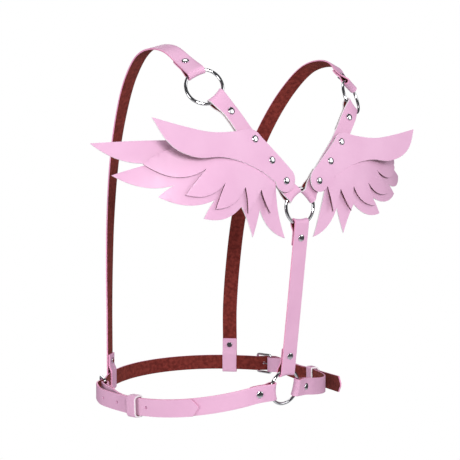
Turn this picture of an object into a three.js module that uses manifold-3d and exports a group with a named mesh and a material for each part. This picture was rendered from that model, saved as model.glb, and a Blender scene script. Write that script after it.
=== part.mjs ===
// Angel wing harness: leather straps, riveted leather wings, metal rings and buckles, in its worn form.
// Millimetres, +Z up, the back faces -Y and +X is the wearer's right. The pieces are laid out from the
// middle of the waist ring, and the whole harness is then moved so that the shoulder line is the origin.
import * as THREE from 'three';
import { mergeVertices } from 'three/addons/utils/BufferGeometryUtils.js';
import Module from 'manifold-3d';

// Leather and fit
const STRAP_WIDTH = 18;
const STRAP_THICK = 1.8;
const WING_THICK = 1.3;
const GAP = 0.3;
const WING_STACK_START = 1.5;
const SHOULDER_DEPTH = 70;
const SHOULDER_HEIGHT = 349.5;

// Rings: radius of the wire's centre line, radius of the wire, and how far out a strap holds the wire
const RING_RADIUS = 18.1;
const WIRE_RADIUS = 1.6;
const WIRE_HOLD = 17;
const WIRE_HOLD_SETBACK = 1.5;
const WIRE_ROOM = 0.9;
const RING_SIDES = 20;
const WIRE_SIDES = 6;

// Rivets: domed head, flat back cap, post, and the hole that the post passes
const RIVET_HEAD_RADIUS = 3.7;
const RIVET_HEAD_HEIGHT = 1.4;
const RIVET_DOME_RADIUS = 2.9;
const RIVET_DOME_HEIGHT = 1;
const RIVET_CAP_RADIUS = 3.4;
const RIVET_CAP_THICK = 0.9;
const RIVET_POST_RADIUS = 1.2;
const RIVET_HOLE_RADIUS = 1.75;
const RIVET_SIDES = 8;
const HOLE_SIDES = 6;

// Folded strap ends: distances from the bend to the rivet and past it
const FOLD_TO_RIVET = 19.2;
const SPINE_TOP_TO_RIVET = 16;
const BELT_TO_RIVET = 15.5;
const FOLD_TAIL = 8;
const DIAGONAL_TAIL = 22;
const FOLD_FLAT_BEFORE_RIVET = 5;
const FOLD_STRAIGHT = 4.5;
const FOLD_STEPS = 5;

// Waist: a round of this radius whose back touches the waist ring, and how the belt drops from the ring
const WAIST_RADIUS = 124;
const BELT_DROP = 23.5;
const BELT_DROP_TURN = 44;
const BELT_DROP_POWER = 1.5;
const BELT_RISE = 4.5;
const BELT_RISE_FROM = 88;
const BELT_RISE_TO = 108;
const BELT_STEP = 6;
const SIDE_START_TURN = 15;

// Buckles: where the side strap folds round the heel bar, and the frame
const BUCKLE_TURN = 111.5;
const BUCKLE_LENGTH = 20;
const BUCKLE_BAR_RADIUS = 1.5;
const BUCKLE_BAR_ROOM = 0.7;
const BUCKLE_SIDE_ROOM = 0.8;
const BUCKLE_CORNER = 2;
const BUCKLE_BAR_SIDES = 8;
const PRONG_RADIUS = 1.1;
const PRONG_ROOM = 0.5;
const PRONG_TIP_LIFT = 2.05;
const SIDE_STRAP_LIFT = 5.6;
const SIDE_LIFT_FROM = 97;
const SIDE_LIFT_TO = 109;

// Tongues of the front belt: tip, bulge over the buckle, punched holes, spring of the right tip
const TONGUE_TURN = 46.2;
const TONGUE_POINT = 6.6;
const TONGUE_TIP_HALF = 1;
const TONGUE_GAP = 0.5;
const TONGUE_BULGE = 12;
const TONGUE_BULGE_TURN = 110;
const TONGUE_DOWN_TURN = 87;
const TONGUE_UNDER_TURN = 122;
const TONGUE_UNDER_LIFT = 1;
const TONGUE_FLAT_TURN = 132;
const TONGUE_DROOP = 3.5;
const TONGUE_DROOP_TURN = 8;
const TONGUE_HOLE_TURNS = [69.8, 80.3, 90.8, 101.3];
const TONGUE_HOLE_RADIUS = 1.6;
const TIP_SPRING = 13.6;
const TIP_SPRING_TURN = 75;

// Keepers
const KEEPER_TURN = 77.4;
const KEEPER_WIDTH = 12.5;
const KEEPER_THICK = 2;
const KEEPER_STAND = 3.2;
const KEEPER_ROOM = 0.6;
const KEEPER_INNER_CORNER = 1.1;
const KEEPER_OUTER_CORNER = 3.2;

// Front loops of the shoulder straps round the belt
const LOOP_TURN = 136.5;
const LOOP_GAP = 0.5;
const LOOP_STRAIGHT = 20;
const LOOP_TO_RIVET = 32;
const LOOP_HEIGHTS = [70, 26, 8];
const LOOP_BOTTOM = STRAP_WIDTH / 2 + LOOP_GAP;

// Back surface that carries the wings: depth at the midline, where it leans in upwards, and where the loose
// feathers wrap round the side along lines that run up and in
const BACK_DEPTH = -22.4;
const LEAN_START = 205;
const LEAN_RADIUS = 220;
const WRAP_START = 76;
const WRAP_RADIUS = 150;
const WRAP_TILT = 0.3;
const WING_TOP = 275;
const WRAP_END = 215;
const WING_BEND_STEP = 30;
const WING_EDGE_STEPS = 3;

// The loose feathers open up away from the line of rivets, the long ones back and the middle ones out: how far
// from the line they start to, how far from it they are fully open, by how much, and by how much more those
// near the midline
const LONG_OPENING = { start: 8, end: 30, outer: -1, inner: -1.6 };
const MIDDLE_OPENING = { start: 16, end: 40, outer: 0, inner: 1.2 };
const INNER_FEATHERS = 38;
const OUTER_FEATHERS = 80;
const SAME_PLACE = 1e-4;

const UP = new THREE.Vector3(0, 0, 1);
const leather = { color: 0xecb8d9, roughness: 0.5, metalness: 0 };
const chrome = { color: 0xc9c9cd, roughness: 0.18, metalness: 1 };

const wasm = await Module();
wasm.setup();

const harness = new THREE.Group();
harness.position.set(0, -SHOULDER_DEPTH, -SHOULDER_HEIGHT);

function vec(x, y, z) {
  return new THREE.Vector3(x, y, z);
}

function addPiece(name, geometry, finish) {
  const mesh = new THREE.Mesh(geometry, new THREE.MeshStandardMaterial(finish));
  mesh.name = name;
  harness.add(mesh);
  return mesh;
}

// A geometry with shared corners, no empty triangles and its faces pointing out
function closedBody(geometry) {
  const bare = new THREE.BufferGeometry();
  bare.setAttribute('position', geometry.getAttribute('position').clone());
  bare.setIndex(geometry.getIndex());
  const merged = mergeVertices(bare, SAME_PLACE);
  const corners = merged.getIndex().array;
  const place = merged.getAttribute('position');
  const point = (i) => new THREE.Vector3().fromBufferAttribute(place, i);
  const kept = [];
  let volume = 0;
  for (let i = 0; i < corners.length; i += 3) {
    const [a, b, c] = [corners[i], corners[i + 1], corners[i + 2]];
    if (a !== b && b !== c && c !== a) {
      kept.push([a, b, c]);
      volume += point(a).dot(point(b).cross(point(c)));
    }
  }
  const facing = kept.map(([a, b, c]) => (volume < 0 ? [a, c, b] : [a, b, c]));
  merged.setIndex(facing.flat());
  merged.computeVertexNormals();
  return merged;
}

function fromTriangles(points, triangles) {
  const geometry = new THREE.BufferGeometry();
  const places = points.flatMap((p) => p.toArray());
  geometry.setAttribute('position', new THREE.Float32BufferAttribute(places, 3));
  geometry.setIndex(triangles.flat());
  return closedBody(geometry);
}

function toSolid(geometry) {
  const body = closedBody(geometry);
  const vertProperties = new Float32Array(body.getAttribute('position').array);
  const triVerts = new Uint32Array(body.getIndex().array);
  return new wasm.Manifold(new wasm.Mesh({ numProp: 3, vertProperties, triVerts }));
}

function fromSolid(solid) {
  const { vertProperties, triVerts } = solid.getMesh();
  const geometry = new THREE.BufferGeometry();
  geometry.setAttribute('position', new THREE.Float32BufferAttribute(vertProperties, 3));
  geometry.setIndex(Array.from(triVerts));
  return closedBody(geometry);
}

function rod(from, to, radius, sides) {
  const line = to.clone().sub(from);
  const geometry = new THREE.CylinderGeometry(radius, radius, line.length(), sides);
  const turn = new THREE.Quaternion().setFromUnitVectors(vec(0, 1, 0), line.clone().normalize());
  geometry.applyQuaternion(turn);
  const middle = from.clone().add(to).multiplyScalar(0.5);
  return geometry.translate(middle.x, middle.y, middle.z);
}

// Cuts a round hole through a strap at each station, along the way its face points
function drill(geometry, stations, radius) {
  const reach = 2 * STRAP_THICK + 3 * GAP;
  const holes = stations.map(({ at, face }) => {
    const inner = at.clone().addScaledVector(face, -reach);
    const outer = at.clone().addScaledVector(face, reach / 2);
    return toSolid(rod(inner, outer, radius, HOLE_SIDES));
  });
  return fromSolid(holes.reduce((body, hole) => body.subtract(hole), toSolid(geometry)));
}

// A body through a row of sections with the same number of corners, open with end caps or closed on itself
function sweep(sections, closed) {
  const sides = sections[0].length;
  const triangles = [];
  const spans = closed ? sections.length : sections.length - 1;
  for (let i = 0; i < spans; i += 1) {
    const a = i * sides;
    const b = ((i + 1) % sections.length) * sides;
    for (let j = 0; j < sides; j += 1) {
      const k = (j + 1) % sides;
      triangles.push([a + j, b + j, b + k], [a + j, b + k, a + k]);
    }
  }
  const last = (sections.length - 1) * sides;
  for (let j = 1; j < sides - 1 && !closed; j += 1) {
    triangles.push([0, j, j + 1], [last, last + j + 1, last + j]);
  }
  return fromTriangles(sections.flat(), triangles);
}

// Straps: stations along a centre line, each with its outer face and its width direction
function stationsThrough(points, outs) {
  return points.map((at, i) => {
    const before = points[Math.max(i - 1, 0)];
    const after = points[Math.min(i + 1, points.length - 1)];
    const along = after.clone().sub(before).normalize();
    const across = along.clone().cross(outs[i]).normalize();
    const face = across.clone().cross(along);
    return { at, along, across, face, half: STRAP_WIDTH / 2 };
  });
}

function smoothStations(rows, stepsPerRow) {
  const steps = stepsPerRow * (rows.length - 1);
  const line = new THREE.CatmullRomCurve3(rows.map((row) => row.at));
  const facing = new THREE.CatmullRomCurve3(rows.map((row) => row.out));
  return stationsThrough(line.getPoints(steps), facing.getPoints(steps));
}

// The station at a distance along a strap, measured from its first station
function stationAt(stations, distance) {
  let left = distance;
  for (let i = 0; i < stations.length - 1; i += 1) {
    const [a, b] = [stations[i], stations[i + 1]];
    const span = a.at.distanceTo(b.at);
    if (left <= span) {
      const mix = (key) => a[key].clone().lerp(b[key], left / span);
      const [along, across, face] = ['along', 'across', 'face'].map((key) => mix(key).normalize());
      return { at: mix('at'), along, across, face, half: a.half };
    }
    left -= span;
  }
  return stations[stations.length - 1];
}

// A strap end turned round a wire or bar at its first station and laid back on its inner side.
// hollow is the room inside the bend, straight the length before the two layers close up.
function foldStart(stations, { hollow, straight, toRivet, tail }) {
  const bend = (hollow + STRAP_THICK) / 2;
  const closed = STRAP_THICK + GAP;
  const first = stations[0];
  const flatFrom = toRivet - FOLD_FLAT_BEFORE_RIVET;
  const layer = [
    { distance: toRivet + tail, depth: closed },
    { distance: toRivet + tail / 2, depth: closed },
    { distance: toRivet + tail / 4, depth: closed },
    { distance: flatFrom, depth: closed },
    { distance: straight, depth: 2 * bend },
    { distance: 0, depth: 2 * bend },
  ].map(({ distance, depth }) => {
    const over = stationAt(stations, distance);
    const at = over.at.clone().addScaledVector(over.face, -depth);
    return { ...over, at, face: over.face.clone().negate() };
  });
  const middle = first.at.clone().addScaledVector(first.face, -bend);
  for (let i = 1; i < FOLD_STEPS; i += 1) {
    const angle = Math.PI * (1 - i / FOLD_STEPS);
    const face = first.face.clone().multiplyScalar(Math.cos(angle));
    face.addScaledVector(first.along, -Math.sin(angle));
    layer.push({ ...first, at: middle.clone().addScaledVector(face, bend), face });
  }
  return [...layer, ...stations];
}

function turnedBack(stations) {
  return [...stations].reverse().map((s) => ({ ...s, along: s.along.clone().negate() }));
}

function foldEnd(stations, fold) {
  return turnedBack(foldStart(turnedBack(stations), fold));
}

function ribbon(stations) {
  const corners = [[1, 1], [-1, 1], [-1, -1], [1, -1]];
  const sections = stations.map(({ at, across, face, half }) => corners.map(([side, out]) => {
    const corner = at.clone().addScaledVector(across, side * half);
    return corner.addScaledVector(face, out * STRAP_THICK / 2);
  }));
  return sweep(sections, false);
}

function mirroredBody(geometry) {
  return closedBody(geometry.clone().scale(-1, 1, 1));
}

function mirroredStation(station) {
  const flip = vec(-1, 1, 1);
  return { ...station, at: station.at.clone().multiply(flip), face: station.face.clone().multiply(flip) };
}

// The right piece as modelled and the left one mirrored
function addPair(name, geometry, finish) {
  addPiece(`${name}_right`, geometry, finish);
  addPiece(`${name}_left`, mirroredBody(geometry), finish);
}

// A domed rivet through layers that reach from inner to outer about the station
function addRivet(name, { at, face }, inner, outer) {
  const back = -inner - GAP;
  const front = outer + GAP;
  const profile = [
    [0, back - RIVET_CAP_THICK],
    [RIVET_CAP_RADIUS, back - RIVET_CAP_THICK],
    [RIVET_CAP_RADIUS, back],
    [RIVET_POST_RADIUS, back],
    [RIVET_POST_RADIUS, front],
    [RIVET_HEAD_RADIUS, front],
    [RIVET_DOME_RADIUS, front + RIVET_DOME_HEIGHT],
    [0, front + RIVET_HEAD_HEIGHT],
  ].map(([radius, height]) => new THREE.Vector2(radius, height));
  const piece = addPiece(name, closedBody(new THREE.LatheGeometry(profile, RIVET_SIDES)), chrome);
  piece.position.copy(at);
  piece.quaternion.setFromUnitVectors(vec(0, 1, 0), face);
}

function addRivetPair(name, station, inner, outer) {
  addRivet(`${name}_right`, station, inner, outer);
  addRivet(`${name}_left`, mirroredStation(station), inner, outer);
}

const FOLD_INNER = 1.5 * STRAP_THICK + 2 * GAP;
const FOLD_OUTER = STRAP_THICK / 2;

// Rings, each with its middle and the way it faces
const waistRing = { middle: vec(0, 0, 0), face: vec(0, -0.9917, -0.1285) };
const centreRing = { middle: vec(0, -23.2, 189), face: vec(0, -1, 0) };
const shoulderRing = { middle: vec(97.1, 5.9, 305.7), face: vec(0.41, -0.85, 0.33).normalize() };
const leftShoulderRing = {
  middle: shoulderRing.middle.clone().multiply(vec(-1, 1, 1)),
  face: shoulderRing.face.clone().multiply(vec(-1, 1, 1)),
};

function addRing(name, ring) {
  const torus = new THREE.TorusGeometry(RING_RADIUS, WIRE_RADIUS, WIRE_SIDES, RING_SIDES);
  const piece = addPiece(name, closedBody(torus), chrome);
  piece.position.copy(ring.middle);
  piece.quaternion.setFromUnitVectors(UP, ring.face);
}

addRing('ring_waist', waistRing);
addRing('ring_centre', centreRing);
addRing('ring_shoulder_right', shoulderRing);
addRing('ring_shoulder_left', leftShoulderRing);

const RING_FOLD = {
  hollow: 2 * (WIRE_RADIUS + WIRE_ROOM),
  straight: FOLD_STRAIGHT,
  toRivet: FOLD_TO_RIVET,
  tail: FOLD_TAIL,
};
const RING_LIFT = WIRE_RADIUS + WIRE_ROOM + STRAP_THICK / 2;

// The first row of a strap that leaves a ring's wire towards a point on its outer layer
function leaveRing(ring, toward) {
  const aim = toward.clone().addScaledVector(ring.face, -RING_LIFT).sub(ring.middle);
  const heading = aim.clone().projectOnPlane(ring.face).normalize();
  const wire = ring.middle.clone().addScaledVector(heading, WIRE_HOLD);
  const away = aim.add(ring.middle).sub(wire).normalize();
  const out = ring.face.clone().projectOnPlane(away).normalize();
  const at = wire.addScaledVector(out, RING_LIFT).addScaledVector(away, -WIRE_HOLD_SETBACK);
  return { at, out };
}

// Spine strap: one straight run between the centre ring and the waist ring
const spineTop = leaveRing(centreRing, vec(0, -8, 20));
const spineFoot = leaveRing(waistRing, spineTop.at);
const spineRun = smoothStations([spineTop, spineFoot], 4);
const spineRivets = [
  stationAt(spineRun, SPINE_TOP_TO_RIVET),
  stationAt(turnedBack(spineRun), FOLD_TO_RIVET),
];
const SPINE_TOP_FOLD = { ...RING_FOLD, toRivet: SPINE_TOP_TO_RIVET };
const spineStrap = ribbon(foldEnd(foldStart(spineRun, SPINE_TOP_FOLD), RING_FOLD));
addPiece('spine_strap', drill(spineStrap, spineRivets, RIVET_HOLE_RADIUS), leather);
addRivet('rivet_spine_top', spineRivets[0], FOLD_INNER, FOLD_OUTER);
addRivet('rivet_spine_foot', spineRivets[1], FOLD_INNER, FOLD_OUTER);

// Back surface: flat strips that bend along lines a step apart, following a curve of the given radius
function bentDepth(past, radius) {
  const strip = Math.floor(Math.max(0, past) / WING_BEND_STEP);
  const [near, far] = [strip, strip + 1].map((i) => (i * WING_BEND_STEP) ** 2 / (2 * radius));
  const share = Math.max(0, past) / WING_BEND_STEP - strip;
  return near + (far - near) * share;
}

// How far round the side a place lies
function roundSide(x, z) {
  return x + WRAP_TILT * (z - LEAN_START);
}

// Depth at a place, and the point and normal of a layer that stands off it
function backDepth(x, z, wraps) {
  const wrap = wraps ? bentDepth(roundSide(x, z) - WRAP_START, WRAP_RADIUS) : 0;
  return BACK_DEPTH + bentDepth(z - LEAN_START, LEAN_RADIUS) + wrap;
}

function backPlace(x, z, wraps, stand) {
  const leanSlope = Math.max(0, z - LEAN_START) / LEAN_RADIUS;
  const wrapSlope = wraps ? Math.max(0, roundSide(x, z) - WRAP_START) / WRAP_RADIUS : 0;
  const out = vec(wrapSlope, -1, leanSlope + WRAP_TILT * wrapSlope).normalize();
  return { at: vec(x, backDepth(x, z, wraps), z).addScaledVector(out, stand), out };
}

// Diagonal straps: from the centre ring along the back, under the wing, to the shoulder ring
const WING_RIVETS = [
  { name: 'low', x: 21.6, z: 214.3 },
  { name: 'middle', x: 38.7, z: 234.3 },
  { name: 'top', x: 57.1, z: 254.2 },
];
const DIAGONAL_REST = { x: 15.5, z: 207, stand: 1 };
const DIAGONAL_RIVET = { x: 77.8, z: 281.2, stand: 1.9 };
const diagonalBody = [DIAGONAL_REST, ...WING_RIVETS, DIAGONAL_RIVET]
  .map(({ x, z, stand = 0 }) => backPlace(x, z, false, stand));
const diagonalRows = [
  leaveRing(centreRing, diagonalBody[0].at.clone().add(vec(0, -1, 0))),
  ...diagonalBody,
  leaveRing(shoulderRing, diagonalBody[diagonalBody.length - 1].at),
];
const DIAGONAL_STEPS = 3;
const diagonalRun = smoothStations(diagonalRows, DIAGONAL_STEPS);
const wingRivetStations = WING_RIVETS.map((row, i) => diagonalRun[(i + 2) * DIAGONAL_STEPS]);
const diagonalTopRivet = stationAt(turnedBack(diagonalRun), FOLD_TO_RIVET);
const DIAGONAL_TOP_FOLD = { ...RING_FOLD, tail: DIAGONAL_TAIL };
const diagonalStrap = ribbon(foldEnd(foldStart(diagonalRun, RING_FOLD), DIAGONAL_TOP_FOLD));
const diagonalHoles = [...wingRivetStations, diagonalTopRivet];
addPair('diagonal_strap', drill(diagonalStrap, diagonalHoles, RIVET_HOLE_RADIUS), leather);
addRivetPair('rivet_diagonal', diagonalTopRivet, FOLD_INNER + GAP, FOLD_OUTER + GAP);

// Wing outlines, seen from behind: x outwards from the midline, z up.
// An edge from one point to the next bows out of the feather by its bow.
function bowedEdge(shape, from, to, bow) {
  const line = to.clone().sub(from);
  const aside = new THREE.Vector2(line.y, -line.x).normalize();
  const control = from.clone().add(to).multiplyScalar(0.5).addScaledVector(aside, -2 * bow);
  shape.quadraticCurveTo(control.x, control.y, to.x, to.y);
}

// A layer of feathers: from its root under the layer above, each feather's tip and the notch after it,
// then the corners of the root
function featherOutline(rootX, rootZ, feathers, corners) {
  const shape = new THREE.Shape();
  let here = new THREE.Vector2(rootX, rootZ);
  shape.moveTo(here.x, here.y);
  feathers.forEach(({ tipX, tipZ, upperBow, notchX, notchZ, lowerBow }) => {
    const tip = new THREE.Vector2(tipX, tipZ);
    const notch = new THREE.Vector2(notchX, notchZ);
    bowedEdge(shape, here, tip, upperBow);
    bowedEdge(shape, tip, notch, lowerBow);
    here = notch;
  });
  corners.forEach(({ x, z }) => shape.lineTo(x, z));
  shape.closePath();
  return shape;
}

const middleFeathers = featherOutline(
  116,
  248,
  [
    { tipX: 164.2, tipZ: 229.5, upperBow: 4.5, notchX: 111.4, notchZ: 225.3, lowerBow: 10 },
    { tipX: 132, tipZ: 201.2, upperBow: 0.5, notchX: 93.3, notchZ: 212.8, lowerBow: 6.5 },
    { tipX: 104.3, tipZ: 188, upperBow: 0.5, notchX: 71.6, notchZ: 208.8, lowerBow: 6 },
    { tipX: 68.4, tipZ: 183.4, upperBow: -1, notchX: 52.5, notchZ: 206.3, lowerBow: 1 },
    { tipX: 41.6, tipZ: 183.2, upperBow: 1, notchX: 33.5, notchZ: 211.5, lowerBow: -1 },
  ],
  [
    { x: 23.8, z: 207 }, { x: 16.3, z: 213.4 }, { x: 51.1, z: 255.8 }, { x: 57, z: 259.2 },
    { x: 62, z: 255 }, { x: 63, z: 249 },
  ],
);

const longFeathers = featherOutline(
  116,
  252.5,
  [
    { tipX: 200.1, tipZ: 249.3, upperBow: 1, notchX: 154, notchZ: 231.5, lowerBow: 7.5 },
    { tipX: 189, tipZ: 219.5, upperBow: 0.5, notchX: 140.8, notchZ: 210.4, lowerBow: 6.5 },
    { tipX: 155, tipZ: 199.7, upperBow: 0.5, notchX: 103.9, notchZ: 196.6, lowerBow: 6.5 },
    { tipX: 115.6, tipZ: 179.2, upperBow: 0.5, notchX: 74.2, notchZ: 190.1, lowerBow: 6 },
    { tipX: 60.1, tipZ: 159.8, upperBow: -1, notchX: 51, notchZ: 186.8, lowerBow: 0.5 },
    { tipX: 18.9, tipZ: 157.3, upperBow: 5.5, notchX: 33, notchZ: 211.5, lowerBow: -2 },
  ],
  [
    { x: 23.8, z: 207.8 }, { x: 17, z: 213.8 }, { x: 50.8, z: 254.8 }, { x: 56.8, z: 258.4 },
    { x: 61.5, z: 254.5 }, { x: 62.5, z: 248.5 },
  ],
);

// The cover feather: a long blade, its upper edge from tip to crown and its lower edge back to the tip,
// whose inner end is rounded off below the lowest rivet from one angle to the other
const COVER_TIP = { x: 171, z: 270.5 };
const COVER_UPPER = [{ x: 139, z: 263.8 }, { x: 108, z: 259.3 }, { x: 80, z: 260.8 }, { x: 66, z: 263.4 }];
const COVER_CROWN = { x: 54.5, z: 264.8, endX: 49, endZ: 256.8 };
const COVER_ROUND = { x: 22.8, z: 215.8, radius: 12.4, fromAngle: 142.2, toAngle: 347.4 };
const COVER_LOWER = [
  { x: 48, z: 221.4 }, { x: 72, z: 231.4 }, { x: 98, z: 236.4 }, { x: 125, z: 235.5 }, { x: 146.5, z: 241.5 },
  { x: 159.5, z: 251.5 }, COVER_TIP,
];

function coverOutline() {
  const pointsOf = (rows) => rows.map(({ x, z }) => new THREE.Vector2(x, z));
  const [from, to] = [COVER_ROUND.fromAngle, COVER_ROUND.toAngle].map(THREE.MathUtils.degToRad);
  const shape = new THREE.Shape();
  shape.moveTo(COVER_TIP.x, COVER_TIP.z);
  shape.splineThru(pointsOf(COVER_UPPER));
  shape.quadraticCurveTo(COVER_CROWN.x, COVER_CROWN.z, COVER_CROWN.endX, COVER_CROWN.endZ);
  shape.absarc(COVER_ROUND.x, COVER_ROUND.z, COVER_ROUND.radius, from, to, false);
  shape.splineThru(pointsOf(COVER_LOWER));
  return shape;
}

// Splits flat triangles along the line where a point's distance past it is zero
function splitTriangles(triangles, past) {
  return triangles.flatMap((triangle) => {
    const low = triangle.filter((p) => past(p) < -SAME_PLACE);
    const high = triangle.filter((p) => past(p) > SAME_PLACE);
    if (low.length === 0 || high.length === 0) {
      return [triangle];
    }
    const polygon = { low: [], high: [] };
    triangle.forEach((p, i) => {
      const q = triangle[(i + 1) % 3];
      if (!high.includes(p)) {
        polygon.low.push(p);
      }
      if (!low.includes(p)) {
        polygon.high.push(p);
      }
      if ((low.includes(p) && high.includes(q)) || (high.includes(p) && low.includes(q))) {
        const cut = p.clone().lerp(q, past(p) / (past(p) - past(q)));
        polygon.low.push(cut);
        polygon.high.push(cut);
      }
    });
    const fan = (corners) => corners.slice(2).map((c, i) => [corners[0], corners[i + 1], c]);
    return [...fan(polygon.low), ...fan(polygon.high)];
  });
}

// How far out and down a place on a wing lies from the line through its rivets
function fromRivets({ x, y }) {
  const [low, , top] = WING_RIVETS;
  const length = Math.hypot(top.x - low.x, top.z - low.z);
  return ((x - low.x) * (top.z - low.z) - (y - low.z) * (top.x - low.x)) / length;
}

// How far a place on a layer of loose feathers has opened up
function openedBy(p, { start, end, outer, inner }) {
  const { smoothstep } = THREE.MathUtils;
  const nearMidline = 1 - smoothstep(p.x, INNER_FEATHERS, OUTER_FEATHERS);
  return smoothstep(fromRivets(p), start, end) * (outer + inner * nearMidline);
}

// A flat outline bent over the back surface as leather of even thickness. With an opening it is a layer of
// loose feathers, which wraps round the side, and without one it lies flat.
function wingLayer(shape, stand, opening) {
  const wraps = Boolean(opening);
  const holes = WING_RIVETS.map(({ x, z }) => {
    const hole = new THREE.Path();
    hole.absarc(x, z, RIVET_HOLE_RADIUS, 0, 2 * Math.PI, true);
    return hole;
  });
  shape.holes.push(...holes);
  const outline = shape.extractPoints(WING_EDGE_STEPS);
  const rings = [outline.shape, ...outline.holes].map((ring) => {
    const closes = ring[0].distanceTo(ring[ring.length - 1]) < SAME_PLACE;
    return closes ? ring.slice(0, -1) : ring;
  });
  const corners = rings.flat();
  const faces = THREE.ShapeUtils.triangulateShape(rings[0], rings.slice(1));
  let triangles = faces.map((face) => face.map((i) => corners[i]));
  for (let z = LEAN_START; z < WING_TOP; z += WING_BEND_STEP) {
    triangles = splitTriangles(triangles, (p) => p.y - z);
  }
  for (let bend = WRAP_START; wraps && bend < WRAP_END; bend += WING_BEND_STEP) {
    triangles = splitTriangles(triangles, (p) => roundSide(p.x, p.y) - bend);
  }
  if (opening) {
    triangles = splitTriangles(triangles, (p) => fromRivets(p) - opening.start);
  }
  const index = new Map();
  const flat = [];
  const numbered = triangles.map((triangle) => triangle.map((p) => {
    const key = `${p.x.toFixed(3)} ${p.y.toFixed(3)}`;
    if (!index.has(key)) {
      index.set(key, flat.length);
      flat.push(p);
    }
    return index.get(key);
  })).filter(([a, b, c]) => a !== b && b !== c && c !== a);
  const half = WING_THICK / 2;
  const middle = (p) => stand + (opening ? openedBy(p, opening) : 0);
  const outer = flat.map((p) => backPlace(p.x, p.y, wraps, middle(p) + half).at);
  const inner = flat.map((p) => backPlace(p.x, p.y, wraps, middle(p) - half).at);
  const edges = new Map();
  numbered.forEach((triangle) => triangle.forEach((a, i) => {
    const b = triangle[(i + 1) % 3];
    edges.set(`${a} ${b}`, [a, b]);
  }));
  const rim = [...edges.values()].filter(([a, b]) => !edges.has(`${b} ${a}`));
  const count = flat.length;
  const walls = rim.flatMap(([a, b]) => [[a, a + count, b + count], [a, b + count, b]]);
  const back = numbered.map(([a, b, c]) => [a + count, c + count, b + count]);
  return fromTriangles([...outer, ...inner], [...numbered, ...back, ...walls]);
}

const WING_STEP = WING_THICK + GAP;
const longStand = WING_STACK_START + WING_THICK / 2;
addPair('wing_long', wingLayer(longFeathers, longStand, LONG_OPENING), leather);
addPair('wing_middle', wingLayer(middleFeathers, longStand + WING_STEP, MIDDLE_OPENING), leather);
addPair('wing_cover', wingLayer(coverOutline(), longStand + 2 * WING_STEP, null), leather);

const WING_OUTER = WING_STACK_START + 3 * WING_THICK + 2 * GAP;
WING_RIVETS.forEach(({ name }, i) => {
  const inner = name === 'low' ? FOLD_INNER : STRAP_THICK / 2;
  addRivetPair(`rivet_wing_${name}`, wingRivetStations[i], inner, WING_OUTER);
});

// Waist line: the belt's middle at a turn in degrees from the back, lifted off the waist
function waistHeight(turn) {
  const drop = 1 - Math.exp(-((turn / BELT_DROP_TURN) ** BELT_DROP_POWER));
  return BELT_RISE * THREE.MathUtils.smoothstep(turn, BELT_RISE_FROM, BELT_RISE_TO) - BELT_DROP * drop;
}

function waistPlace(turn, lift, droop) {
  const angle = THREE.MathUtils.degToRad(turn);
  const out = vec(Math.sin(angle), -Math.cos(angle), 0);
  const at = vec(0, WAIST_RADIUS, 0).addScaledVector(out, WAIST_RADIUS + STRAP_THICK / 2 + lift);
  at.z = waistHeight(Math.min(turn, 360 - turn)) - droop;
  return { at, out };
}

function turnsBetween(from, to) {
  const steps = Math.round((to - from) / BELT_STEP);
  return Array.from({ length: steps + 1 }, (unused, i) => from + (to - from) * i / steps);
}

// Side belts: from the waist ring round to the buckle's heel bar
const sideRows = turnsBetween(SIDE_START_TURN, BUCKLE_TURN).map((turn) => {
  const lift = SIDE_STRAP_LIFT * THREE.MathUtils.smoothstep(turn, SIDE_LIFT_FROM, SIDE_LIFT_TO);
  return waistPlace(turn, lift, 0);
});
const sideStart = leaveRing(waistRing, sideRows[0].at);
const sidePoints = [sideStart, ...sideRows];
const sideRun = stationsThrough(sidePoints.map((row) => row.at), sidePoints.map((row) => row.out));
const sideHeel = turnedBack(sideRun);
const HEEL_FOLD = { ...RING_FOLD, hollow: 2 * (BUCKLE_BAR_RADIUS + BUCKLE_BAR_ROOM) };
const BELT_FOLD = { ...RING_FOLD, toRivet: BELT_TO_RIVET };
const sideRivets = [stationAt(sideRun, BELT_TO_RIVET), stationAt(sideHeel, FOLD_TO_RIVET)];
const sideStrap = ribbon(foldEnd(foldStart(sideRun, BELT_FOLD), HEEL_FOLD));
addRivetPair('rivet_belt', sideRivets[0], FOLD_INNER, FOLD_OUTER);
addRivetPair('rivet_buckle', sideRivets[1], FOLD_INNER + GAP, FOLD_OUTER + GAP);

// Buckles: a bent wire frame whose heel bar sits in the side belt's fold, with its prong closed on it
const heel = sideHeel[0];
const heelBar = heel.at.clone().addScaledVector(heel.face, -(HEEL_FOLD.hollow + STRAP_THICK) / 2);
const forward = heel.along.clone().negate();
const BUCKLE_HALF = STRAP_WIDTH / 2 + BUCKLE_SIDE_ROOM + BUCKLE_BAR_RADIUS;

function buckleFrame() {
  const [low, high] = [0, BUCKLE_LENGTH];
  const plan = [
    [low, -BUCKLE_HALF + BUCKLE_CORNER], [low + BUCKLE_CORNER, -BUCKLE_HALF],
    [high - BUCKLE_CORNER, -BUCKLE_HALF], [high, -BUCKLE_HALF + BUCKLE_CORNER],
    [high, BUCKLE_HALF - BUCKLE_CORNER], [high - BUCKLE_CORNER, BUCKLE_HALF],
    [low + BUCKLE_CORNER, BUCKLE_HALF], [low, BUCKLE_HALF - BUCKLE_CORNER],
  ].map(([u, v]) => heelBar.clone().addScaledVector(forward, u).addScaledVector(heel.across, v));
  const sections = plan.map((corner, i) => {
    const before = plan[(i + plan.length - 1) % plan.length];
    const after = plan[(i + 1) % plan.length];
    const along = after.clone().sub(before).normalize();
    const aside = along.cross(heel.face).normalize();
    return Array.from({ length: BUCKLE_BAR_SIDES }, (unused, k) => {
      const angle = 2 * Math.PI * k / BUCKLE_BAR_SIDES;
      const reach = corner.clone().addScaledVector(aside, BUCKLE_BAR_RADIUS * Math.cos(angle));
      return reach.addScaledVector(heel.face, BUCKLE_BAR_RADIUS * Math.sin(angle));
    });
  });
  return sweep(sections, true);
}

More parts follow.
